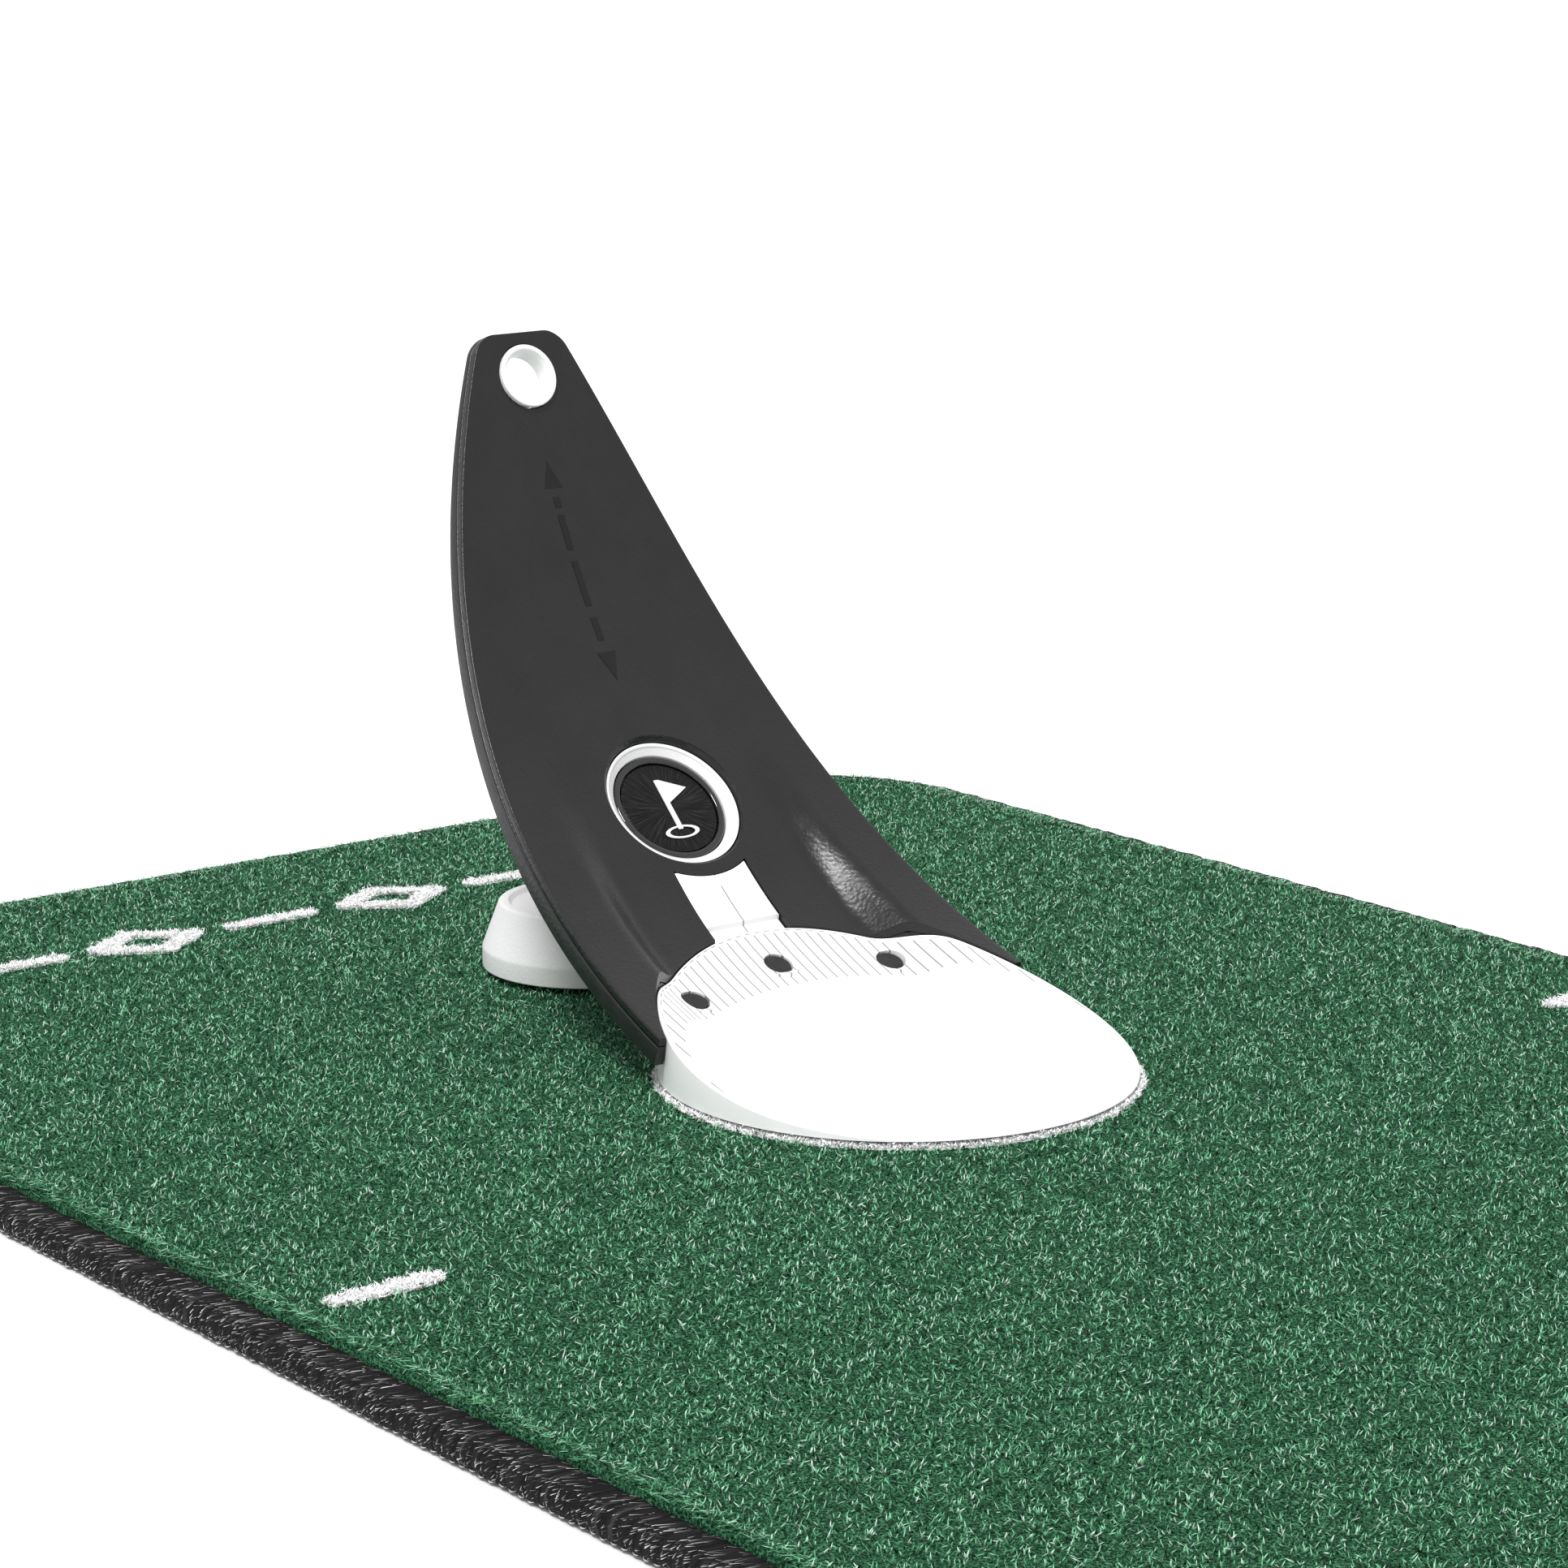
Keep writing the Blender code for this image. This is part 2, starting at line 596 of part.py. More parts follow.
def build_lip():
    """White lip disc with its tongue, hollow underneath, with three screw bosses."""
    lip = lip_body("lip_plate", LIP_RADIUS, 0.0, GAP, WHITE)
    hollow = lip_body("lip_hollow", LIP_RADIUS - LIP_WALL, LIP_PLATE, -OVERCUT)
    boolean(lip, hollow)
    for number, (x, y) in enumerate(PLUG_SPOTS, 1):
        place = plug_frame(x, y)
        top = lip_height(x, 0.0)
        boolean(lip, rod("lip_boss", BOSS_RADIUS, BOSS_BOTTOM, top - 0.5 * LIP_PLATE,
                         shifted(x, y, 0.0)), "UNION")
        seat = PLUG_THICKNESS + SCREW_HEAD_HEIGHT + 2 * GAP
        well = rod("plug_well", PLUG_RADIUS + GAP, -seat, OVERCUT, place, segments=24)
        boolean(lip, well)
        boolean(lip, rod("screw_way", SCREW_SHANK_RADIUS + GAP, -THROUGH_CUT, OVERCUT, place))
        rod("lip_plug_%d" % number, PLUG_RADIUS, -PLUG_THICKNESS, -PLUG_RECESS, place, RUBBER, 24)
        down = place @ shifted(0, 0, -seat + GAP)
        length = top - seat - BOSS_BOTTOM + BRACKET_THICKNESS + GAP
        screw("lip_screw_%d" % number, down, SCREW_HEAD_RADIUS, SCREW_HEAD_HEIGHT,
              SCREW_SHANK_RADIUS, length)
    boolean(lip, tongue_slab("tongue", tongue_front, SKIN_THICKNESS, 0.0), "UNION")
    notch_top = bracket_top_at_wall() + GAP
    inside, outside = -LIP_WALL - 2 * OVERCUT, OVERCUT
    notch = prism("bracket_notch", [(inside, -OVERCUT), (outside, -OVERCUT), (outside, notch_top),
                                    (inside, notch_top)],
                  -BRACKET_HALF_WIDTH - GAP, BRACKET_HALF_WIDTH + GAP,
                  shifted(LIP_RADIUS, 0, 0) @ SIDEWAYS)
    boolean(lip, notch)
    shade_round(lip)


# ---- toe bracket ----
def bracket_top_at_wall():
    """The bracket's top where it passes under the lip's rear wall."""
    return BOSS_BOTTOM - GAP


def tail_screw_places():
    """Matrices under the bracket's tail, with their Z axis pointing down out of the shell."""
    places = []
    u = u_at_x(TAIL_SCREW_X)
    normal = edge_normal(u)
    tilt = math.atan2(-normal[0], normal[1])
    for side in (-1, 1):
        point = ramp_point(u, 0.0, ramp_thickness(u))
        point.y = side * TAIL_SCREW_Y
        places.append(Matrix.Translation(point) @ Matrix.Rotation(-tilt, 4, "Y") @ TURNED_OVER)
    return places


def build_bracket():
    """The bracket that ties the lip disc to the back shell."""
    top = bracket_top_at_wall()
    bottom = top - BRACKET_THICKNESS
    start_x = LIP_RADIUS - BRACKET_ROOT
    upper, lower = [], []
    steps = 4
    for k in range(steps + 1):
        x = start_x + (BRACKET_TAIL_END - start_x) * k / steps
        u = u_at_x(x)
        near = ramp_point(u, 0.0, ramp_thickness(u) + GAP)
        far = ramp_point(u, 0.0, ramp_thickness(u) + GAP + BRACKET_THICKNESS)
        upper.append((near.x, near.z))
        lower.append((far.x, far.z))
    outline = [(BAR_START, bottom), (BAR_START, top), (LIP_RADIUS + GAP, top)] + upper
    outline += lower[::-1] + [(LIP_RADIUS + BRACKET_THICKNESS, bottom)]
    bracket = prism("toe_bracket", outline, -BRACKET_HALF_WIDTH, BRACKET_HALF_WIDTH, SIDEWAYS, BLACK)
    bar_outline = [(BAR_START - GAP, bottom - GAP), (BAR_END, bottom - GAP),
                   (BAR_END, top - BAR_OVERLAP), (BAR_START - GAP, top - BAR_OVERLAP)]
    half_bar = SIDE_PLUG_Y + BRACKET_BAR_SPARE
    boolean(bracket, prism("bracket_bar", bar_outline, -half_bar, half_bar, SIDEWAYS), "UNION")
    for x, y in PLUG_SPOTS:
        boolean(bracket, rod("bracket_hole", SCREW_SHANK_RADIUS + 2 * GAP, -2 * THROUGH_CUT, OVERCUT,
                             plug_frame(x, y)))
    for number, place in enumerate(tail_screw_places(), 1):
        boolean(bracket, rod("tail_hole", SMALL_SHANK_RADIUS + GAP, -OVERCUT, THROUGH_CUT, place))
        seat = place @ shifted(0, 0, BRACKET_THICKNESS + 2 * GAP)
        length = BRACKET_THICKNESS + 2 * GAP + TAIL_SCREW_BITE
        screw("bracket_screw_%d" % number, seat, SMALL_HEAD_RADIUS, SMALL_HEAD_HEIGHT,
              SMALL_SHANK_RADIUS, length)


# ---- target ----
def ring_places(radius, count, depth, first_turn):
    """Matrices on a circle behind the target, with their Z axis pointing to the back."""
    places = []
    for k in range(count):
        turn = first_turn + 2 * math.pi * k / count
        offset = shifted(radius * math.cos(turn), radius * math.sin(turn), -depth)
        places.append(TARGET_FRAME @ offset @ TURNED_OVER)
    return places


def cup_screw_places():
    """Where the cup's flange screws enter the back shell."""
    return ring_places(CUP_SCREW_CIRCLE, 3, CUP_FLANGE_DEPTH, 0.0)


def build_target_cup():
    """White ring and cup behind it, held by a flange on the back shell."""
    flange_back = CUP_FLANGE_DEPTH + CUP_FLANGE_THICKNESS
    funnel_end = CUP_RIM_DROP + CUP_FUNNEL_DEPTH
    profile = ((CUP_OUTER, -CUP_RIM_DROP), (CUP_OUTER, -CUP_FLANGE_DEPTH),
               (CUP_FLANGE_RADIUS, -CUP_FLANGE_DEPTH), (CUP_FLANGE_RADIUS, -flange_back),
               (CUP_OUTER, -flange_back), (CUP_OUTER, -CUP_BACK),
               (STEM_RADIUS + RUNNING_GAP, -CUP_BACK), (STEM_RADIUS + RUNNING_GAP, -CUP_FLOOR),
               (CUP_INNER, -CUP_FLOOR), (CUP_INNER, -funnel_end),
               (CUP_OUTER - CUP_RIM_LAND, -CUP_RIM_DROP))
    cup = turned_body("target_cup", profile, TARGET_FRAME, WHITE, DISC_SEGMENTS)
    for number, place in enumerate(cup_screw_places(), 1):
        boolean(cup, rod("cup_hole", SMALL_SHANK_RADIUS + GAP, -OVERCUT, OVERCUT, place))
        seat = place @ shifted(0, 0, CUP_FLANGE_THICKNESS + GAP)
        screw("cup_screw_%d" % number, seat, SMALL_HEAD_RADIUS, SMALL_HEAD_HEIGHT,
              SMALL_SHANK_RADIUS, CUP_FLANGE_THICKNESS + GAP + CUP_SCREW_BITE)
    for place in hinge_screw_places():
        pilot = HINGE_PLATE_THICKNESS + 2 * GAP + HINGE_SCREW_BITE
        boolean(cup, rod("bracket_pilot", SMALL_SHANK_RADIUS + GAP, -pilot, OVERCUT, place))


def build_target_disc():
    """The sliding disc: plunger, gloss bezel, brushed badge and its icon."""
    seat = DISC_DROP + BEZEL_HEIGHT + GAP
    back = seat + PLUNGER_PLATE
    clip_depth = CUP_BACK + GAP + DISC_DROP
    stem_end = clip_depth + CLIP_THICKNESS + 2 * GAP
    groove = STEM_RADIUS - STEM_GROOVE
    plunger = ((0.0, -seat), (DISC_RADIUS, -seat), (DISC_RADIUS, -back), (STEM_RADIUS, -back),
               (STEM_RADIUS, -clip_depth), (groove, -clip_depth),
               (groove, -clip_depth - CLIP_THICKNESS - GAP),
               (STEM_RADIUS, -clip_depth - CLIP_THICKNESS - GAP), (STEM_RADIUS, -stem_end - GAP),
               (0.0, -stem_end - GAP))
    turned_body("target_plunger", plunger, Matrix(), BLACK, DISC_SEGMENTS, TARGET_AXIS)
    bezel_inner = DISC_RADIUS - BEZEL_WIDTH
    bezel_bottom = seat - GAP
    crown = DISC_DROP + BEZEL_CROWN
    bezel = ((DISC_RADIUS, -bezel_bottom), (DISC_RADIUS, -crown), (DISC_RADIUS - BEZEL_ROUND, -DISC_DROP),
             (bezel_inner + BEZEL_ROUND, -DISC_DROP), (bezel_inner, -crown), (bezel_inner, -bezel_bottom))
    turned_body("target_bezel", bezel, Matrix(), GLOSS, DISC_SEGMENTS, TARGET_AXIS)
    badge_top = bezel_bottom - BADGE_THICKNESS
    rod("target_badge", bezel_inner - GAP, -bezel_bottom, -badge_top, Matrix(), BRUSHED, DISC_SEGMENTS,
        TARGET_AXIS)
    icon_low, icon_high = -badge_top + ICON_LIFT, -badge_top + ICON_LIFT + ICON_THICKNESS
    # A flag on its pole: the outline turns once round pole and pennant. Up the slope is +x.
    outline = [(FLAG_FOOT, POLE_HALF_WIDTH), (FLAG_FOOT, -POLE_HALF_WIDTH),
               (FLAG_TOP - FLAG_DROP, -POLE_HALF_WIDTH), (FLAG_TOP - 0.5 * FLAG_DROP, -FLAG_REACH),
               (FLAG_TOP, -POLE_HALF_WIDTH), (FLAG_TOP, POLE_HALF_WIDTH)]
    flag = prism("badge_icon", outline, icon_low, icon_high, Matrix(), WHITE, TARGET_AXIS)
    ring_spot = shifted(FLAG_FOOT - HOLE_RING_DROP, 0, 0) @ Matrix.Diagonal((HOLE_RING_SQUEEZE, 1, 1, 1))
    ring = ((HOLE_RING_OUTER, icon_low), (HOLE_RING_OUTER, icon_high), (HOLE_RING_INNER, icon_high),
            (HOLE_RING_INNER, icon_low))
    boolean(flag, turned_body("icon_ring", ring, ring_spot, None, 24, TARGET_AXIS), "UNION")
    clip_front, clip_back = clip_depth + 0.5 * GAP, clip_depth + CLIP_THICKNESS
    clip = ((groove + GAP, -clip_front), (groove + GAP, -clip_back), (CLIP_RADIUS, -clip_back),
            (CLIP_RADIUS, -clip_front))
    turned_body("stem_clip", clip, Matrix(), STEEL, 24, TARGET_AXIS)


def build_spring():
    """The coil spring behind the plunger: a wire carried round a helix."""
    front = DISC_DROP + BEZEL_HEIGHT + GAP + PLUNGER_PLATE + GAP + SPRING_WIRE
    back = CUP_FLOOR - GAP - SPRING_WIRE
    steps = 12 * SPRING_TURNS
    sides = 6
    vertices = []
    for k in range(steps + 1):
        turn = 2 * math.pi * SPRING_TURNS * k / steps
        depth = front + (back - front) * k / steps
        outward = Vector((math.cos(turn), math.sin(turn), 0))
        middle = outward * SPRING_RADIUS - Vector((0, 0, depth))
        for side in range(sides):
            spin = 2 * math.pi * side / sides
            vertices.append(TARGET_FRAME @ (middle + outward * SPRING_WIRE * math.cos(spin)
                                            + Vector((0, 0, SPRING_WIRE * math.sin(spin)))))
    faces = grid_faces(steps + 1, sides, closed_columns=True)
    faces += [tuple(range(sides)), tuple(range(steps * sides, (steps + 1) * sides))]
    shade_round(add_object("plunger_spring", vertices, faces, STEEL, TRAINER_BASE))


# ---- hang grommet ----
def build_grommet():
    """White bush through the eye at the top of the ramp."""
    through = RAMP_THICKNESS_TOP + GROMMET_THROUGH
    flange = min(GROMMET_FLANGE, SKIN_THICKNESS - GAP)
    profile = ((GROMMET_RADIUS - GROMMET_ROUND, GROMMET_PROUD),
               (GROMMET_RADIUS, GROMMET_PROUD - GROMMET_ROUND), (GROMMET_RADIUS, -flange),
               (GROMMET_BARREL_RADIUS, -flange), (GROMMET_BARREL_RADIUS, -through),
               (GROMMET_BORE_RADIUS, -through), (GROMMET_BORE_RADIUS, -GROMMET_CHAMFER_DEPTH),
               (GROMMET_BORE_RADIUS + GROMMET_CHAMFER, GROMMET_PROUD))
    turned_body("top_grommet", profile, GROMMET_FRAME, WHITE, ROUND_SEGMENTS)


# ---- folding leg ----
def hinge_screw_places():
    """The two screws of the hinge bracket, in its plate's corners."""
    plate_back = CUP_BACK + GAP + HINGE_PLATE_THICKNESS
    return ring_places(HINGE_SCREW_CIRCLE, 2, plate_back, 0.0)


def build_hinge():
    """Bracket with two ears behind the cup, its pin, washers and screws."""
    plate_front = CUP_BACK + GAP
    plate_back = plate_front + HINGE_PLATE_THICKNESS
    hole = CLIP_RADIUS + 2 * GAP
    plate = ((hole, -plate_front), (HINGE_PLATE_RADIUS, -plate_front),
             (HINGE_PLATE_RADIUS, -plate_back), (hole, -plate_back))
    bracket = turned_body("hinge_bracket", plate, TARGET_FRAME, WHITE, ROUND_SEGMENTS)
    ear_in = KNUCKLE_HALF_WIDTH + WASHER_THICKNESS + 2 * GAP
    ear_out = ear_in + EAR_THICKNESS
    rounded = []
    steps = 10
    for k in range(steps + 1):
        turn = math.pi * k / steps
        rounded.append((KNUCKLE_RADIUS * math.cos(turn), -HINGE_DEPTH - KNUCKLE_RADIUS * math.sin(turn)))
    ear_root = EAR_OVERLAP - plate_back
    ear = [(-KNUCKLE_RADIUS, ear_root), (KNUCKLE_RADIUS, ear_root)] + rounded
    upright = TARGET_FRAME @ SIDEWAYS
    for side in (-1, 1):
        low, high = sorted((side * ear_in, side * ear_out))
        boolean(bracket, prism("hinge_ear", ear, low, high, upright), "UNION")
    boolean(bracket, rod("pin_room", PIN_RADIUS + GAP, -THROUGH_CUT, THROUGH_CUT, HINGE_FRAME,
                         segments=20))
    for number, spot in enumerate(hinge_screw_places(), 1):
        boolean(bracket, rod("plate_hole", SMALL_SHANK_RADIUS + GAP, -THROUGH_CUT, OVERCUT, spot))
        seat = spot @ shifted(0, 0, GAP)
        length = HINGE_PLATE_THICKNESS + 2 * GAP + HINGE_SCREW_BITE
        screw("hinge_screw_%d" % number, seat, SMALL_HEAD_RADIUS, SMALL_HEAD_HEIGHT,
              SMALL_SHANK_RADIUS, length)
    head = ear_out + GAP
    pin = ((0.0, -head - PIN_HEAD_THICKNESS), (PIN_HEAD_RADIUS, -head - PIN_HEAD_THICKNESS),
           (PIN_HEAD_RADIUS, -head), (PIN_RADIUS, -head), (PIN_RADIUS, head),
           (PIN_HEAD_RADIUS, head), (PIN_HEAD_RADIUS, head + PIN_HEAD_THICKNESS),
           (0.0, head + PIN_HEAD_THICKNESS))
    turned_body("hinge_pin", pin, HINGE_FRAME, STEEL, 20)
    for number, side in enumerate((-1, 1), 1):
        near = side * (KNUCKLE_HALF_WIDTH + GAP)
        far = side * (KNUCKLE_HALF_WIDTH + GAP + WASHER_THICKNESS)
        rim = KNUCKLE_RADIUS - WASHER_STEP
        ring = ((PIN_RADIUS + GAP, near), (rim, near), (rim, far), (PIN_RADIUS + GAP, far))
        turned_body("friction_washer_%d" % number, ring, HINGE_FRAME, NYLON, 20)


def build_leg():
    """The strut that swings on the pin, and the weighted foot at its end."""
    strut = rod("leg_strut", KNUCKLE_RADIUS, -KNUCKLE_HALF_WIDTH, KNUCKLE_HALF_WIDTH, Matrix(), WHITE,
                28, LEG_HINGE)
    dish = FOOT_HEIGHT - FOOT_DISH_DEPTH
    foot = HINGE_FRAME.inverted() @ shifted(FOOT_X, 0, 0)
    boss_low = dish + GAP
    boss_high = boss_low + STRUT_BOSS_HEIGHT
    boss = ((0.0, boss_low), (STRUT_BOSS_RADIUS, boss_low),
            (STRUT_BOSS_RADIUS, boss_low + STRUT_BOSS_BAND),
            (STRUT_BOSS_RADIUS - STRUT_BOSS_BEVEL, boss_high), (0.0, boss_high))
    direction = foot @ Vector((-STRUT_END_BACK, 0, boss_low + STRUT_END_SINK))
    bar_frame = direction.to_track_quat("Z", "Y").to_matrix().to_4x4()
    bar = rod("strut_bar", STRUT_RADIUS - STRUT_BAR_LESS, 0.0, direction.length, bar_frame, None, 24,
              LEG_HINGE)
    below = rod("below_boss", 2 * STRUT_BOSS_RADIUS, boss_low - THROUGH_CUT, boss_low, foot, None, 24,
                LEG_HINGE)
    boolean(bar, below)
    boolean(strut, bar, "UNION")
    boolean(strut, turned_body("strut_boss", boss, foot, None, 32, LEG_HINGE), "UNION")
    boolean(strut, rod("knuckle_bore", PIN_RADIUS + GAP, -THROUGH_CUT, THROUGH_CUT, Matrix(), None, 20,
                       LEG_HINGE))
    bore = SCREW_SHANK_RADIUS + GAP
    boolean(strut, rod("strut_thread", bore, 0.0, boss_low + STRUT_THREAD, foot, None, SMALL_SEGMENTS,
                       LEG_HINGE))
    shade_round(strut)
    roof = FOOT_HEIGHT - FOOT_DISH_DEPTH - FOOT_ROOF
    rim_inner = FOOT_RADIUS - FOOT_RIM
    shell = ((bore, dish), (FOOT_DISH_RADIUS - FOOT_DISH_BEVEL, dish), (FOOT_DISH_RADIUS, FOOT_HEIGHT),
             (FOOT_TOP_RADIUS - FOOT_EDGE_ROUND, FOOT_HEIGHT),
             (FOOT_TOP_RADIUS, FOOT_HEIGHT - FOOT_EDGE_ROUND),
             (FOOT_RADIUS - FOOT_BAND_ROUND, FOOT_BAND + FOOT_BAND_ROUND), (FOOT_RADIUS, FOOT_BAND),
             (FOOT_RADIUS, GAP), (rim_inner, GAP), (rim_inner, PAD_THICKNESS + 2 * GAP),
             (WEIGHT_RADIUS + GAP, PAD_THICKNESS + 2 * GAP), (WEIGHT_RADIUS + GAP, roof), (bore, roof))
    turned_body("foot_shell", shell, foot, WHITE, DISC_SEGMENTS, LEG_HINGE)
    weight_low = PAD_THICKNESS + 3 * GAP
    weight_high = weight_low + WEIGHT_THICKNESS
    head_room = FOOT_SCREW_HEAD_RADIUS + GAP
    seat = weight_low + WEIGHT_SCREW_SEAT
    weight = ((head_room, weight_low), (WEIGHT_RADIUS, weight_low), (WEIGHT_RADIUS, weight_high),
              (bore, weight_high), (bore, seat), (head_room, seat))
    turned_body("foot_weight", weight, foot, STEEL, 32, LEG_HINGE)
    pad_radius = rim_inner - GAP
    pad = ((0.0, GAP), (pad_radius, GAP), (pad_radius, PAD_THICKNESS + GAP), (0.0, PAD_THICKNESS + GAP))
    turned_body("foot_pad", pad, foot, RUBBER, 32, LEG_HINGE)
    upward = foot @ shifted(0, 0, seat - GAP) @ TURNED_OVER
    length = boss_low + STRUT_THREAD - 2 * SCREW_END_BACK - seat
    screw("foot_screw", upward, FOOT_SCREW_HEAD_RADIUS, SCREW_HEAD_HEIGHT, SCREW_SHANK_RADIUS,
          length, LEG_HINGE)


build_mat()
build_ramp()
build_lip()
build_bracket()
build_target_cup()
build_target_disc()
build_spring()
build_grommet()
build_hinge()
build_leg()
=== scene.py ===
import math

import bmesh
import bpy
import numpy as np
from mathutils import Matrix, Vector


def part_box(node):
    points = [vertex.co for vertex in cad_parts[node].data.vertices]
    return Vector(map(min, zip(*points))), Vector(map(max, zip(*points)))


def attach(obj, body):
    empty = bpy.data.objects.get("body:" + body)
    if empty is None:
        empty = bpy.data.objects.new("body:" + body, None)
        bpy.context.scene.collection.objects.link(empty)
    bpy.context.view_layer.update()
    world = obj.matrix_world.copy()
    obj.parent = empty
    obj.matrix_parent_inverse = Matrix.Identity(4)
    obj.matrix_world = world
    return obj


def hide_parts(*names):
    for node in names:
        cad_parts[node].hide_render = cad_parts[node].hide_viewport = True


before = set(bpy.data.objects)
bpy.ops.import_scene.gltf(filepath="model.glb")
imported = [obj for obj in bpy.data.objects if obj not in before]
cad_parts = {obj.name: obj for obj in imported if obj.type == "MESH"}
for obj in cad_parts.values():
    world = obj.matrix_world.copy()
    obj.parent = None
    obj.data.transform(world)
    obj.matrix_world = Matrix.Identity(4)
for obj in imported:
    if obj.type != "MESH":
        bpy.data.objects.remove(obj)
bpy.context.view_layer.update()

# ---------------------------------------------------------------------------------------------
# Studio: a plain pale floor under the mat, one broad soft window high on the left and an even
# pale surround. The lens looks down the mat's far end from a little above it.
# ---------------------------------------------------------------------------------------------
LIP_RADIUS = 0.0534
turf_low, turf_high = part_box("mat_turf")
cup = Vector((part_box("lip_plate")[0].x + LIP_RADIUS, 0.0, turf_high.z))

LENS_MM = 104.75
CAMERA_FROM_CUP = Vector((-0.74719, 0.62200, 0.28683))
LOOK_ALONG = Vector((0.785, -0.6195, 0.0))
LOOK_DOWN = math.radians(12.832)

lens = bpy.data.cameras.new("studio_camera")
lens.lens = LENS_MM
lens.sensor_width = 36.0
lens.clip_start = 0.02
camera = bpy.data.objects.new("studio_camera", lens)
bpy.context.scene.collection.objects.link(camera)
camera.location = cup + CAMERA_FROM_CUP
sight = LOOK_ALONG.normalized() * math.cos(LOOK_DOWN) - Vector((0, 0, math.sin(LOOK_DOWN)))
camera.rotation_euler = sight.to_track_quat("-Z", "Y").to_euler()
bpy.context.scene.camera = camera
bpy.context.scene.view_settings.view_transform = "Standard"

SURROUND_STRENGTH = 0.72
WINDOW_FROM_CUP = Vector((-0.267, 0.42, 0.855))
WINDOW_STRENGTH, WINDOW_SPREAD = 2.7, math.radians(18)

world = bpy.data.worlds.new("pale_surround")
world.use_nodes = True
world.node_tree.nodes["Background"].inputs["Color"].default_value = (1.0, 1.0, 1.0, 1.0)
world.node_tree.nodes["Background"].inputs["Strength"].default_value = SURROUND_STRENGTH
bpy.context.scene.world = world
glow = bpy.data.lights.new("broad_window", "SUN")
glow.energy = WINDOW_STRENGTH
glow.angle = WINDOW_SPREAD
window = bpy.data.objects.new("broad_window", glow)
bpy.context.scene.collection.objects.link(window)
window.rotation_euler = (-WINDOW_FROM_CUP).to_track_quat("-Z", "Y").to_euler()


def wire(material, kind, inputs=None, **settings):
    """Adds a node to a material. inputs are values or other nodes' sockets, settings its own options."""
    made = material.node_tree.nodes.new(kind)
    for key, value in settings.items():
        setattr(made, key, value)
    for key, value in (inputs or {}).items():
        if isinstance(value, bpy.types.NodeSocket):
            material.node_tree.links.new(value, made.inputs[key])
        else:
            made.inputs[key].default_value = value
    return made


def plain_finish(name, **sockets):
    """A Principled material whose constant values sit on the shader's own sockets."""
    material = bpy.data.materials.new(name)
    material.use_nodes = True
    shader = material.node_tree.nodes["Principled BSDF"]
    for key, value in sockets.items():
        shader.inputs[key.replace("_", " ")].default_value = value
    return material, shader


def feed(material, socket, source):
    """Links a source socket to one of the shader's inputs."""
    shader = material.node_tree.nodes["Principled BSDF"]
    material.node_tree.links.new(source, shader.inputs[socket])


def object_coords(material):
    return wire(material, "ShaderNodeTexCoord").outputs["Object"]


def noise(material, scale, detail=3.0, vector=None, roughness=0.55):
    """A fractal noise value from 0 to 1, its scale in cells per metre."""
    vector = vector or object_coords(material)
    made = wire(material, "ShaderNodeTexNoise",
                {"Vector": vector, "Scale": scale, "Detail": detail, "Roughness": roughness})
    return made.outputs["Fac"]


def ramp_of(material, factor, *stops):
    """A colour ramp: stops are (place, grey or rgb)."""
    made = wire(material, "ShaderNodeValToRGB", {"Fac": factor})
    band = made.color_ramp
    while len(band.elements) < len(stops):
        band.elements.new(0.5)
    for element, (place, colour) in zip(band.elements, stops):
        shade = (colour,) * 3 if isinstance(colour, float) else colour
        element.position = place
        element.color = (*shade, 1.0)
    return made.outputs["Color"]


def clouded(material, socket, scale, low, high, detail=3.0):
    """Lets a shader input wander between two values with a noise."""
    feed(material, socket, ramp_of(material, noise(material, scale, detail), (0.3, low), (0.7, high)))


def bumped(material, height, distance, strength=1.0, under=None):
    """Raises the surface by a height value times a distance in metres."""
    inputs = {"Height": height, "Distance": distance, "Strength": strength}
    if under:
        inputs["Normal"] = under
    return wire(material, "ShaderNodeBump", inputs).outputs["Normal"]


floor_finish, _ = plain_finish("pale_floor", Roughness=0.75)
clouded(floor_finish, "Base Color", 3.0, 0.93, 0.95)
FLOOR_HALF = 14.0
floor_mesh = bpy.data.meshes.new("studio_floor")
corners = [(sx * FLOOR_HALF, sy * FLOOR_HALF, -0.0002) for sx, sy in ((-1, -1), (1, -1), (1, 1), (-1, 1))]
floor_mesh.from_pydata(corners, [], [(0, 1, 2, 3)])
floor_mesh.materials.append(floor_finish)
floor = bpy.data.objects.new("studio_floor", floor_mesh)
bpy.context.scene.collection.objects.link(floor)


# ---------------------------------------------------------------------------------------------
# Mat backing: a flat sheet of foamed rubber, moulded with small dimples, that grips the floor.
# It is glued under the turf, and the bound edge closes over its sides.
# ---------------------------------------------------------------------------------------------
rubber, _ = plain_finish("foamed_rubber", Roughness=0.85)
dimples = wire(rubber, "ShaderNodeTexVoronoi", {"Vector": object_coords(rubber), "Scale": 420.0})
clouded(rubber, "Base Color", 90.0, 0.016, 0.030)
feed(rubber, "Normal", bumped(rubber, dimples.outputs["Distance"], 0.0004, 0.8))


def carry_over(node, material):
    """A CAD node keeps its own shape and gets a finish."""
    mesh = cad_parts[node].data
    mesh.materials.clear()
    mesh.materials.append(material)


carry_over("mat_backing", rubber)

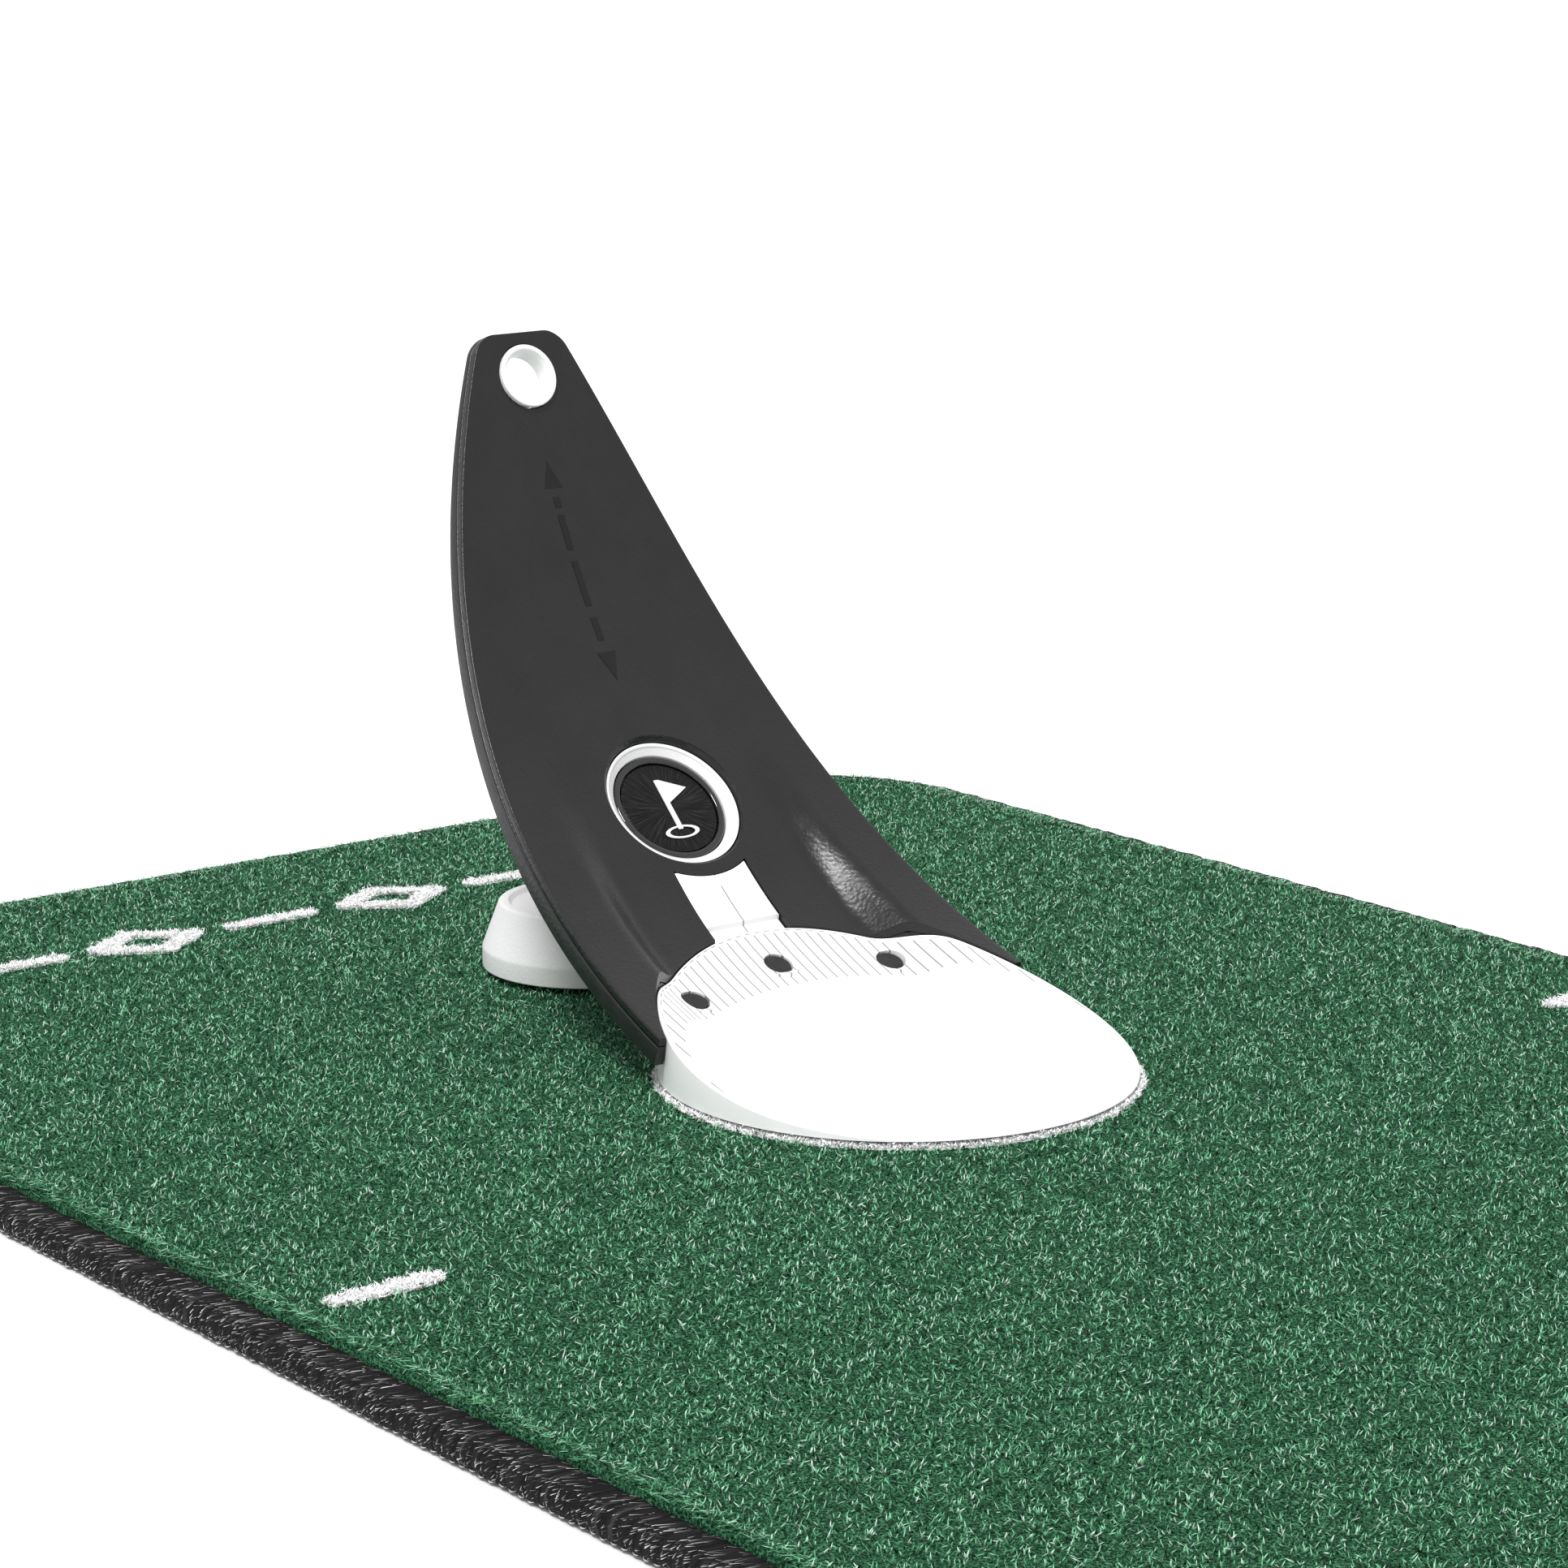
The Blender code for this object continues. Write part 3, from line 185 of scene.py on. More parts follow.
# ---------------------------------------------------------------------------------------------
# Turf: a short dense pile of curled green fibre in a woven base. The cup ring, the putter marks
# and the band at the far end are sprayed on the fibre tips, so their edges are ragged.
# ---------------------------------------------------------------------------------------------
MAT_LENGTH, MAT_WIDTH, MAT_CORNER = 2.400, 0.400, 0.056
BINDING_WIDTH = 0.0095
TURF_INSET = BINDING_WIDTH + 0.0003
PILE_BASE_TOP = turf_high.z - 0.0013
FIBRES_PER_PIECE = 176000
FIBRE_PIECES = 7
PAINT_TRIES = 1500000
FRINGE = 75000
RING_RADIUS, RING_HALF = 0.0519, 0.0024
DASH_X, DASH_HALF_X = -0.0500, 0.0028
DASH_Y, DASH_HALF_Y = 0.1690, 0.0105
BAND_X, BAND_HALF_X, BAND_STROKE = 0.2033, 0.0110, 0.0024
BAND_PITCH, BAND_COUNT = 0.0360, 6


def grid(rows, columns, wrap_rows=False, wrap_columns=False, first=0):
    """The quads of a rows x columns grid of points, wrapped where it closes on itself."""
    i, j = np.meshgrid(np.arange(rows if wrap_rows else rows - 1),
                       np.arange(columns if wrap_columns else columns - 1), indexing="ij")
    i, j = i.ravel(), j.ravel()
    i_next, j_next = (i + 1) % rows, (j + 1) % columns
    return first + np.stack([i * columns + j, i_next * columns + j,
                             i_next * columns + j_next, i * columns + j_next], 1)


def piece(name, points, faces, material, uv=None, sharp=35.0, weld=True):
    """One object from arrays: points (n, 3), faces (m, 3 or 4), and a UV for each face corner."""
    points, faces = np.asarray(points, np.float32).reshape(-1, 3), np.asarray(faces, np.int32)
    mesh = bpy.data.meshes.new(name)
    mesh.vertices.add(len(points))
    mesh.vertices.foreach_set("co", points.ravel())
    mesh.loops.add(faces.size)
    mesh.loops.foreach_set("vertex_index", faces.ravel())
    mesh.polygons.add(len(faces))
    mesh.polygons.foreach_set("loop_start", np.arange(len(faces), dtype=np.int32) * faces.shape[1])
    mesh.update(calc_edges=True)
    if uv is not None:
        layer = mesh.uv_layers.new(name="OFBake")
        layer.uv.foreach_set("vector", np.asarray(uv, np.float32).ravel())
    if weld:
        work = bmesh.new()
        work.from_mesh(mesh)
        bmesh.ops.remove_doubles(work, verts=work.verts, dist=1e-7)
        bmesh.ops.dissolve_degenerate(work, dist=1e-8, edges=work.edges)
        bmesh.ops.recalc_face_normals(work, faces=work.faces)
        work.to_mesh(mesh)
        work.free()
    if sharp:
        mesh.shade_smooth()
        mesh.set_sharp_from_angle(angle=math.radians(sharp))
    mesh.materials.append(material)
    made = bpy.data.objects.new(name, mesh)
    bpy.context.scene.collection.objects.link(made)
    return made


def fitted(made, body, finish_slot, *nodes):
    """Rides on a body and stands for its CAD nodes, if it has any. Its finish_slot is not used."""
    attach(made, body)
    if nodes:
        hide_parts(*nodes)
    return made


def mat_edge(inset, corner_steps=24, side_step=0.02):
    """Points round the mat at an inset: four straight sides and four quarter circles, anticlockwise."""
    half_l, half_w = MAT_LENGTH / 2 - inset, MAT_WIDTH / 2 - inset
    radius = MAT_CORNER - inset
    parts = []
    for sx, sy, start in ((1, 1, 0.0), (-1, 1, 0.5), (-1, -1, 1.0), (1, -1, 1.5)):
        turn = math.pi * (start + 0.5 * np.linspace(0, 1, corner_steps + 1))
        middle = np.array((sx * (half_l - radius), sy * (half_w - radius)))
        parts.append(middle + radius * np.stack([np.cos(turn), np.sin(turn)], 1))
    outline = []
    for part, following in zip(parts, parts[1:] + parts[:1]):
        count = max(2, int(np.linalg.norm(following[0] - part[-1]) / side_step))
        share = np.linspace(0, 1, count + 1)[1:-1, None]
        outline += [part, part[-1] + share * (following[0] - part[-1])]
    return np.concatenate(outline)


def ragged(x, y, size):
    """A cheap smooth noise from -1 to 1: three crossed sines whose waves are about size long."""
    k = 2 * math.pi / size
    return (np.sin(k * (x + 0.7 * y) + 3 * np.sin(0.31 * k * y)) + np.sin(k * (0.9 * y - 0.5 * x) + 1.7)
            + np.sin(1.9 * k * (0.6 * x + y) + 2.3 * np.sin(0.23 * k * x))) / 3


def mark_strokes():
    """The marks as strokes round the cup: (corner points, half-width, whether it closes on itself)."""
    turn = 2 * math.pi * np.arange(180) / 180
    strokes = [(RING_RADIUS * np.stack([np.cos(turn), np.sin(turn)], 1), RING_HALF, True)]
    for side in (-1, 1):
        ends = side * (DASH_Y + DASH_HALF_Y * np.array((-1, 1)))
        strokes.append((np.stack([np.full(2, DASH_X), ends], 1), DASH_HALF_X, False))
    for which in range(-(BAND_COUNT // 2), BAND_COUNT // 2 + 1):
        middle = np.array((BAND_X, which * BAND_PITCH))
        if which % 2:
            bar = np.array(((0.0, -1.0), (0.0, 1.0))) * BAND_HALF_X
            strokes.append((middle + bar, BAND_STROKE, False))
        else:
            diamond = np.array(((1, 0), (0, 1.6), (-1, 0), (0, -1.6))) * (BAND_HALF_X - BAND_STROKE)
            strokes.append((middle + diamond, BAND_STROKE, True))
    return [(points + (cup.x, cup.y), half, closed) for points, half, closed in strokes]


MARKS = mark_strokes()


def painted(x, y):
    """Whether a fibre rooted at (x, y) is white: nearer to a stroke than its half-width, give or take."""
    wander = 0.0006 * ragged(x, y, 0.009) + 0.0004 * ragged(y, x, 0.0027)
    white = np.abs(np.hypot(x - cup.x, y - cup.y) + wander - RING_RADIUS) < RING_HALF
    for points, half, closed in MARKS[1:]:
        reach = half + 0.002
        near = np.flatnonzero(np.all([x > points[:, 0].min() - reach, x < points[:, 0].max() + reach,
                                      y > points[:, 1].min() - reach, y < points[:, 1].max() + reach], 0))
        spot = np.stack([x[near], y[near]], 1)
        for a, b in zip(points, np.roll(points, -1, 0)) if closed else ((points[0], points[1]),):
            share = np.clip((spot - a) @ (b - a) / ((b - a) @ (b - a)), 0, 1)
            away = np.linalg.norm(spot - a - share[:, None] * (b - a), axis=1)
            white[near[away + wander[near] < half]] = True
    return white


pile, _ = plain_finish("green_pile", Roughness=0.6, Specular_IOR_Level=0.2)
own_uv = wire(pile, "ShaderNodeUVMap", uv_map="OFBake").outputs["UV"]
tone, height = wire(pile, "ShaderNodeSeparateXYZ", {"Vector": own_uv}).outputs[:2]
greens = ramp_of(pile, tone, (0.0, (0.001, 0.014, 0.004)), (0.32, (0.030, 0.175, 0.075)),
                 (0.58, (0.205, 0.66, 0.335)), (0.80, (0.42, 0.88, 0.57)), (1.0, (0.88, 0.99, 0.93)))
whites = ramp_of(pile, tone, (0.0, 0.90), (0.5, 0.96), (1.0, 0.98))
is_white = wire(pile, "ShaderNodeMath", {0: height, 1: 0.5}, operation="GREATER_THAN").outputs[0]
# Painted shade: each fibre's colour is multiplied by a ramp of its height from root to tip, down to a tenth
# at the root, standing in for the shade deep in the pile.
up = wire(pile, "ShaderNodeMath", {0: height, 1: 2.0}, operation="MULTIPLY").outputs[0]
up = wire(pile, "ShaderNodeMath", {0: up}, operation="FRACT").outputs[0]
shade = ramp_of(pile, up, (0.0, 0.10), (0.65, 1.0))
mixed = wire(pile, "ShaderNodeMix", {"Factor": is_white, 6: greens, 7: whites}, data_type="RGBA")
painted_root_shade = wire(pile, "ShaderNodeMix", {"Factor": 1.0, 6: mixed.outputs[2], 7: shade},
           data_type="RGBA", blend_type="MULTIPLY")
feed(pile, "Base Color", painted_root_shade.outputs[2])

weave, _ = plain_finish("turf_base_weave", Roughness=0.9, Specular_IOR_Level=0.1)
# Random clumps of green whose near-black patches are also painted shade of the deep pile between the fibres.
# The same noise bumps the weave.
clumps_and_gap_shade = noise(weave, 1700.0, 5.0, roughness=0.75)
feed(weave, "Base Color", ramp_of(weave, clumps_and_gap_shade, (0.40, (0.001, 0.014, 0.005)), (0.51, (0.030, 0.135, 0.062)),
                                  (0.62, (0.17, 0.52, 0.28))))
feed(weave, "Normal", bumped(weave, clumps_and_gap_shade, 0.0012))

# The base is a slab with rounded long edges: outlines at (inset, height), stacked into a closed skin
# whose last rings close on the middle line.
edge_round = 0.0008
base_rings = [(None, turf_low.z), (0.0, turf_low.z), (0.0, PILE_BASE_TOP - edge_round),
              (0.3 * edge_round, PILE_BASE_TOP - 0.3 * edge_round), (edge_round, PILE_BASE_TOP),
              (None, PILE_BASE_TOP)]
rings = []
for inset, z in base_rings:
    ring_xy = mat_edge(TURF_INSET + (inset or 0.0))
    if inset is None:
        ring_xy[:, 1] = 0.0
    rings.append(np.column_stack([ring_xy, np.full(len(ring_xy), z)]))
base_faces = grid(len(rings), len(rings[0]), wrap_columns=True)
turf_base = fitted(piece("turf_base", np.concatenate(rings), base_faces, weave), "mat", "turf", "mat_turf")


# Paint that has sunk between the fibres: a thin ragged ribbon under each stroke, closed all round.
sprayed, _ = plain_finish("sprayed_paint", Roughness=0.8)
feed(sprayed, "Base Color", ramp_of(sprayed, noise(sprayed, 1500.0, 4.0), (0.32, 0.55), (0.55, 0.92)))
feed(sprayed, "Normal", bumped(sprayed, noise(sprayed, 1500.0, 4.0), 0.0008))
PAINT_THICK, PAINT_STEP = 0.0002, 0.0012


def ribbon(name, corners, half, closed):
    """Both sides of a stroke: P = c(t) +- n(t) * (half + 0.4 mm * noise), as a thin slab."""
    ends = np.roll(corners, -1, 0) if closed else corners[1:]
    line = []
    for a, b in zip(corners, ends):
        steps = max(2, int(np.linalg.norm(b - a) / PAINT_STEP))
        line.append(a + np.linspace(0, 1, steps, endpoint=False)[:, None] * (b - a))
    line = np.concatenate(line if closed else line + [corners[-1:]])
    along = np.roll(line, -1, 0) - np.roll(line, 1, 0) if closed else np.gradient(line, axis=0)
    along /= np.linalg.norm(along, axis=1)[:, None]
    aside = np.stack([-along[:, 1], along[:, 0]], 1)
    spread = half + 0.0004 * ragged(line[:, 0], line[:, 1], 0.004)
    sides = np.stack([line - aside * spread[:, None], line + aside * spread[:, None]], 1)
    low, high = PILE_BASE_TOP + 0.0001, PILE_BASE_TOP + 0.0001 + PAINT_THICK
    ring = np.concatenate([np.dstack([sides, np.full(sides.shape[:2], low)]),
                           np.dstack([sides[:, ::-1], np.full(sides.shape[:2], high)])], 1)
    faces = grid(len(line), 4, closed, True)
    if not closed:
        last = 4 * (len(line) - 1)
        faces = np.concatenate([faces, [(0, 1, 2, 3), (last + 3, last + 2, last + 1, last)]])
    return fitted(piece(name, ring.reshape(-1, 3), faces, sprayed), "mat", "turf")


paint_pieces = [ribbon("sprayed_mark_%d" % number, *stroke) for number, stroke in enumerate(MARKS, 1)]


def on_turf(x, y):
    """Which points lie on the turf inside its bound edge."""
    radius = MAT_CORNER - TURF_INSET
    over = np.hypot(np.maximum(np.abs(x) - MAT_LENGTH / 2 + MAT_CORNER, 0),
                    np.maximum(np.abs(y) - MAT_WIDTH / 2 + MAT_CORNER, 0))
    return over < radius


def slivers(name, points, tone, low, high, material, spread=0.006):
    """Loose triangles, given as points (n, 3, 3). Their UV holds a tone, and a height from root to tip."""
    tone, low, high = np.broadcast_arrays(tone, low, high)
    uv = np.stack([np.stack([tone - spread, low], 1), np.stack([tone + spread, low], 1),
                   np.stack([tone, high], 1)], 1)
    faces = np.arange(points.size // 3).reshape(-1, 3)
    return piece(name, points.reshape(-1, 3), faces, material, uv.reshape(-1, 2), sharp=None, weld=False)


def tuft(name, x, y, white, draw):
    """Slivers of pile, one triangle each: root +- side, then tip = root + length * (lean, rise)."""
    n = len(x)
    turn = draw.uniform(0, 2 * math.pi, n)
    lean = np.radians(draw.uniform(15, 78, n))
    length = draw.uniform(0.0008, 0.0018, n)
    high = turf_high.z + draw.normal(0.0, 0.00030, n) + 0.00022 * ragged(x, y, 0.011)
    rise, run = length * np.cos(lean), length * np.sin(lean)
    ahead = np.stack([np.cos(turn), np.sin(turn)], 1)
    aside = np.stack([-ahead[:, 1], ahead[:, 0]], 1)
    half = draw.uniform(0.00014, 0.00024, n)
    sunk = high - rise - draw.uniform(0, 0.0006, n)
    root = np.column_stack([x, y, np.maximum(sunk, PILE_BASE_TOP - 0.0001)])
    tip = root + np.column_stack([ahead * run[:, None], rise])
    side = np.column_stack([aside * half[:, None], draw.uniform(-0.6, 0.6, n) * half])
    points = np.stack([root - side, root + side, tip - side * 0.3], 1)
    shade_of = np.clip(draw.beta(0.95, 1.15, n) + 0.06 * ragged(x, y, 0.013), 0.03, 0.97)
    # V runs from root to tip and drives the pile's painted root shade. White fibres start above 0.5, which
    # marks them white and keeps their root shade light.
    low, high = np.where(white, 0.82, 0.02), np.where(white, 0.5, 0.0) + 0.47
    return fitted(slivers(name, points, shade_of, low, high, pile), "mat", "turf")


for number in range(FIBRE_PIECES):
    draw = np.random.default_rng(11 + number)
    x = draw.uniform(-MAT_LENGTH / 2 + TURF_INSET, MAT_LENGTH / 2 - TURF_INSET, FIBRES_PER_PIECE)
    y = draw.uniform(-MAT_WIDTH / 2 + TURF_INSET, MAT_WIDTH / 2 - TURF_INSET, FIBRES_PER_PIECE)
    inside = on_turf(x, y)
    x, y = x[inside], y[inside]
    tuft("turf_pile_%d" % (number + 1), x, y, painted(x, y), draw)

# The outermost fibres have nothing to lean on, so they fall outwards over the bound edge.
draw = np.random.default_rng(8)
rim_path = mat_edge(TURF_INSET + 0.0006, 40, 0.0008)
at = draw.integers(0, len(rim_path), FRINGE)
ahead = np.roll(rim_path, -1, 0) - np.roll(rim_path, 1, 0)
outward = (np.stack([ahead[:, 1], -ahead[:, 0]], 1) / np.linalg.norm(ahead, axis=1)[:, None])[at]
spot = rim_path[at] - outward * draw.uniform(0, 0.0022, (FRINGE, 1))
spot = spot + draw.uniform(-0.0008, 0.0008, (FRINGE, 2))
sway = draw.uniform(-1.1, 1.1, (FRINGE, 1))
way = outward * np.cos(sway) + np.stack([-outward[:, 1], outward[:, 0]], 1) * np.sin(sway)
length = draw.uniform(0.0012, 0.0032, (FRINGE, 1))
rise = draw.uniform(-0.10, 0.75, FRINGE) * length[:, 0]
high = turf_high.z + draw.uniform(-0.0014, 0.0006, FRINGE)
root = np.column_stack([spot, high - np.abs(rise)])
tip = root + np.column_stack([way * length, rise])
side = np.column_stack([way[:, 1], -way[:, 0], draw.uniform(-0.5, 0.5, FRINGE)])
side = side * draw.uniform(0.00009, 0.00016, (FRINGE, 1))
tone_of = np.clip(draw.beta(1.5, 1.9, FRINGE), 0.03, 0.97)
fringe = slivers("edge_pile", np.stack([root - side, root + side, tip], 1), tone_of, 0.1, 0.47, pile)
fitted(fringe, "mat", "turf")

# Paint mats the fibres of a mark together, so they stand closer there.
draw = np.random.default_rng(4)
x = draw.uniform(cup.x + DASH_X - 0.01, cup.x + BAND_X + 0.02, PAINT_TRIES)
y = draw.uniform(-MAT_WIDTH / 2 + TURF_INSET, MAT_WIDTH / 2 - TURF_INSET, PAINT_TRIES)
matted = on_turf(x, y) & painted(x, y)
tuft("painted_pile", x[matted], y[matted], np.ones(matted.sum(), bool), draw)

# ---------------------------------------------------------------------------------------------
# Bound edge: black carpet yarn, whipped over the edge of turf and backing by a serging machine. Its pale
# streaks and pale loose fibres are partly pale flecks in the yarn and partly painted highlights on its
# fibres. A lock stitch shows as a row of pale dashes near the floor.
# ---------------------------------------------------------------------------------------------
BINDING_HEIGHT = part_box("mat_edge_binding")[1].z
STATION_STEP = 0.0015
STITCH_PITCH, STITCH_LENGTH, STITCH_RADIUS = 0.0030, 0.0017, 0.00013
BINDING_FIBRES = 120000

yarn, _ = plain_finish("whipped_yarn", Roughness=0.8, Specular_IOR_Level=0.12)
along_across = wire(yarn, "ShaderNodeUVMap", uv_map="OFBake").outputs["UV"]
stretched = wire(yarn, "ShaderNodeMapping", {"Vector": along_across, "Scale": (2600.0, 26.0, 1.0)}).outputs[0]
# Pale streaks along the yarn: partly paler yarn and partly painted highlights on its fibres.
streaks_and_sheen = noise(yarn, 1.0, 3.0, stretched)
patches = noise(yarn, 110.0, 2.0)
feed(yarn, "Base Color", ramp_of(yarn, streaks_and_sheen, (0.42, 0.004), (0.60, 0.014), (0.74, 0.08)))
feed(yarn, "Normal", bumped(yarn, streaks_and_sheen, 0.0005, 0.9, bumped(yarn, patches, 0.0006, 0.5)))


def binding_section(steps=14):
    """(inset, height) round the bound edge: a bullnose outside, flat where it meets turf and backing."""
    bulge = 0.5 * BINDING_HEIGHT
    turn = np.linspace(0, math.pi, steps)
    nose = np.stack([bulge * (1 - np.sin(turn)), bulge * (1 - np.cos(turn))], 1)
    crown = [(BINDING_WIDTH * 0.72, BINDING_HEIGHT), (BINDING_WIDTH * 0.93, BINDING_HEIGHT - 0.0004),
             (BINDING_WIDTH, BINDING_HEIGHT - 0.0012), (BINDING_WIDTH, 0.0003)]
    return np.concatenate([nose, crown])


section = binding_section()
draw = np.random.default_rng(5)
around = mat_edge(0.5 * BINDING_WIDTH, 56, STATION_STEP)
ahead = np.roll(around, -1, 0) - np.roll(around, 1, 0)
ahead /= np.linalg.norm(ahead, axis=1)[:, None]
outward = np.stack([ahead[:, 1], -ahead[:, 0]], 1)
gone = np.concatenate([[0.0], np.cumsum(np.linalg.norm(np.diff(around, axis=0), axis=1))])
lumps = 0.00010 * draw.normal(size=(len(around), 1)) + 0.00010 * np.sin(gone * 2 * math.pi / 0.0113)[:, None]
middle = np.array((0.45 * BINDING_WIDTH, 0.5 * BINDING_HEIGHT))
from_core = (section - middle) / np.linalg.norm(section - middle, axis=1)[:, None]
bulged = section[None] + lumps[:, :, None] * from_core
bulged[:, :, 1] = np.clip(bulged[:, :, 1], 0.0, BINDING_HEIGHT)
bulged[:, :, 0] = np.maximum(bulged[:, :, 0], -0.0003)
flat_xy = around[:, None] + outward[:, None] * (0.5 * BINDING_WIDTH - bulged[:, :, :1])
binding_points = np.concatenate([flat_xy, bulged[:, :, 1:]], 2)
rows, columns = binding_points.shape[:2]
faces = grid(rows, columns, True, True)
reach = np.concatenate([[0.0], np.cumsum(np.linalg.norm(np.diff(section, axis=0), axis=1))])
u_at, v_at = faces // columns, faces % columns
u_of = np.where((u_at == 0) & (faces[:, 1:2] // columns == 0), rows, u_at) / rows
uv = np.stack([u_of * gone[-1], reach[v_at]], 2) / gone[-1]
binding = piece("edge_binding", binding_points.reshape(-1, 3), faces, yarn, uv, sharp=60, weld=False)
fitted(binding, "mat", "binding_yarn", "mat_edge_binding")

fluff, _ = plain_finish("yarn_fibres", Roughness=0.6, Specular_IOR_Level=0.25)
fluff_uv = wire(fluff, "ShaderNodeUVMap", uv_map="OFBake").outputs["UV"]
fluff_tone = wire(fluff, "ShaderNodeSeparateXYZ", {"Vector": fluff_uv}).outputs[0]
# The palest loose fibres are partly pale flecks and partly painted highlights on the yarn.
feed(fluff, "Base Color", ramp_of(fluff, fluff_tone, (0.0, 0.003), (0.46, 0.014), (0.68, 0.14), (1.0, 0.80)))

station = draw.integers(0, rows, BINDING_FIBRES)
slot_at = draw.uniform(0, len(section) - 3.2, BINDING_FIBRES)
span = draw.uniform(0.5, 1.7, BINDING_FIBRES)
slant = draw.normal(0.9, 0.35, BINDING_FIBRES)


def on_binding(row, place, lift):
    """A point of the bound edge at a station and a fractional place across it, lifted outwards."""
    low = np.clip(place.astype(int), 0, columns - 2)
    share = (place - low)[:, None]
    row0 = row.astype(int) % rows
    row1 = (row0 + 1) % rows
    part = (row - np.floor(row))[:, None]
    near = binding_points[row0, low] * (1 - share) + binding_points[row0, low + 1] * share
    far = binding_points[row1, low] * (1 - share) + binding_points[row1, low + 1] * share
    spot = near * (1 - part) + far * part
    flat = (section[low] * (1 - share) + section[low + 1] * share) - middle
    flat /= np.linalg.norm(flat, axis=1)[:, None]
    away = np.column_stack([outward[row0] * -flat[:, :1], flat[:, 1]])
    return spot + away * lift[:, None]


start = on_binding(station.astype(float), slot_at, draw.uniform(0.00002, 0.00010, BINDING_FIBRES))
end = on_binding((station + slant) % rows, np.minimum(slot_at + span, len(section) - 1.6),
                 draw.uniform(0.00005, 0.00028, BINDING_FIBRES))
thin = np.column_stack([ahead[station] * draw.uniform(0.00007, 0.00015, BINDING_FIBRES)[:, None],
                        np.zeros(BINDING_FIBRES)])
points = np.stack([start - thin, start + thin, end], 1)
points[:, :, 2] = np.clip(points[:, :, 2], 0.0, None)
grey = np.clip(draw.beta(0.8, 0.85, BINDING_FIBRES), 0.01, 0.99)
fitted(slivers("binding_fibres", points, grey, 0.02, 0.98, fluff, 0.004), "mat", "binding_yarn")

thread, _ = plain_finish("pale_thread", Roughness=0.6)
clouded(thread, "Base Color", 2500.0, 0.42, 0.62)
stitch_count = int(gone[-1] / STITCH_PITCH)
at_row = np.arange(stitch_count) * STITCH_PITCH / gone[-1] * rows
low_place = np.full(stitch_count, 3.1)
along_row = STITCH_LENGTH / gone[-1] * rows
ends = np.linspace(0, 1, 4)[None] * along_row
spots = on_binding((at_row[:, None] + ends).ravel() % rows, np.repeat(low_place, 4),
                   np.tile((0.0001, 0.0003, 0.0003, 0.0001), stitch_count)).reshape(stitch_count, 4, 3)
row_here = at_row.astype(int) % rows
across_out = np.column_stack([outward[row_here] * 0.6, np.full(stitch_count, -0.8)])
across_up = np.column_stack([outward[row_here] * 0.8, np.full(stitch_count, 0.6)])
turns = np.arange(5) * 2 * math.pi / 5
width = np.array((0.5, 1.0, 1.0, 0.5)) * STITCH_RADIUS
loops = (spots[:, :, None] + width[None, :, None, None]
         * (np.cos(turns)[None, None, :, None] * across_out[:, None, None]
            + np.sin(turns)[None, None, :, None] * across_up[:, None, None]))
one_stitch = grid(4, 5, wrap_columns=True)
faces = (one_stitch[None] + 20 * np.arange(stitch_count)[:, None, None]).reshape(-1, 4)
fitted(piece("lock_stitch", loops.reshape(-1, 3), faces, thread, sharp=80, weld=False), "mat", "binding_yarn")

# ---------------------------------------------------------------------------------------------
# Shared shapes: the ramp's own frame stands on the turf tips at the cup's middle, and turned
# parts are outlines of (radius, height) carried round the Z axis of a matrix.
# ---------------------------------------------------------------------------------------------
RAMP_EDGE = np.array(((0.0185, 0.0521, 0.0127), (0.0983, 0.0473, 0.0395),
                      (0.1253, 0.0368, 0.0973), (0.1433, 0.0114, 0.1503)))
TOP_CORNER = 0.0042
CHANNEL_DEPTH = 0.0059
SKIN = 0.0020
GAP = 0.0003
TARGET_X, TARGET_Z, TARGET_TILT = 0.08177, 0.04717, math.radians(44.4)
GROMMET_X, GROMMET_Z, GROMMET_TILT = 0.13893, 0.14042, math.radians(67.5)
BASE = Matrix.Translation(cup)
TURNED_OVER = Matrix.Rotation(math.pi, 4, "X")


def facing(x, z, tilt):
    """A matrix whose Z axis is the outward normal of a surface rising at tilt, at (x, 0, z) of the ramp."""
    return BASE @ Matrix.Translation((x, 0.0, z)) @ Matrix.Rotation(-tilt, 4, "Y")


TARGET = facing(TARGET_X, TARGET_Z, TARGET_TILT)
GROMMET = facing(GROMMET_X, GROMMET_Z, GROMMET_TILT)


def smooth(share):
    """The cubic ease 3 s^2 - 2 s^3 of a share held between 0 and 1."""
    share = np.clip(share, 0.0, 1.0)
    return share * share * (3 - 2 * share)


def placed(points, place):
    """Local points (..., 3) carried by a matrix."""
    matrix = np.array(place)
    return points @ matrix[:3, :3].T + matrix[:3, 3]


def filleted(outline, fillet, steps):
    """An outline whose corners off the axis are eased: B(t) = (1-t)^2 a + 2t(1-t) corner + t^2 b."""
    eased, share = [], np.linspace(0, 1, steps + 1)[:, None]
    for k, corner in enumerate(outline):
        neighbours = corner, outline[k - 1], outline[(k + 1) % len(outline)]
        here, last, following = (np.array(p[:2], float) for p in neighbours)
        cut = corner[2] if len(corner) > 2 else fillet
        if here[0] == 0.0 or cut == 0.0:
            eased.append(here[None])
            continue
        back, on = last - here, following - here
        cut = min(cut, 0.45 * np.linalg.norm(back), 0.45 * np.linalg.norm(on))
        start, end = here + back / np.linalg.norm(back) * cut, here + on / np.linalg.norm(on) * cut
        eased.append((1 - share)**2 * start + 2 * share * (1 - share) * here + share**2 * end)
    return np.concatenate(eased)


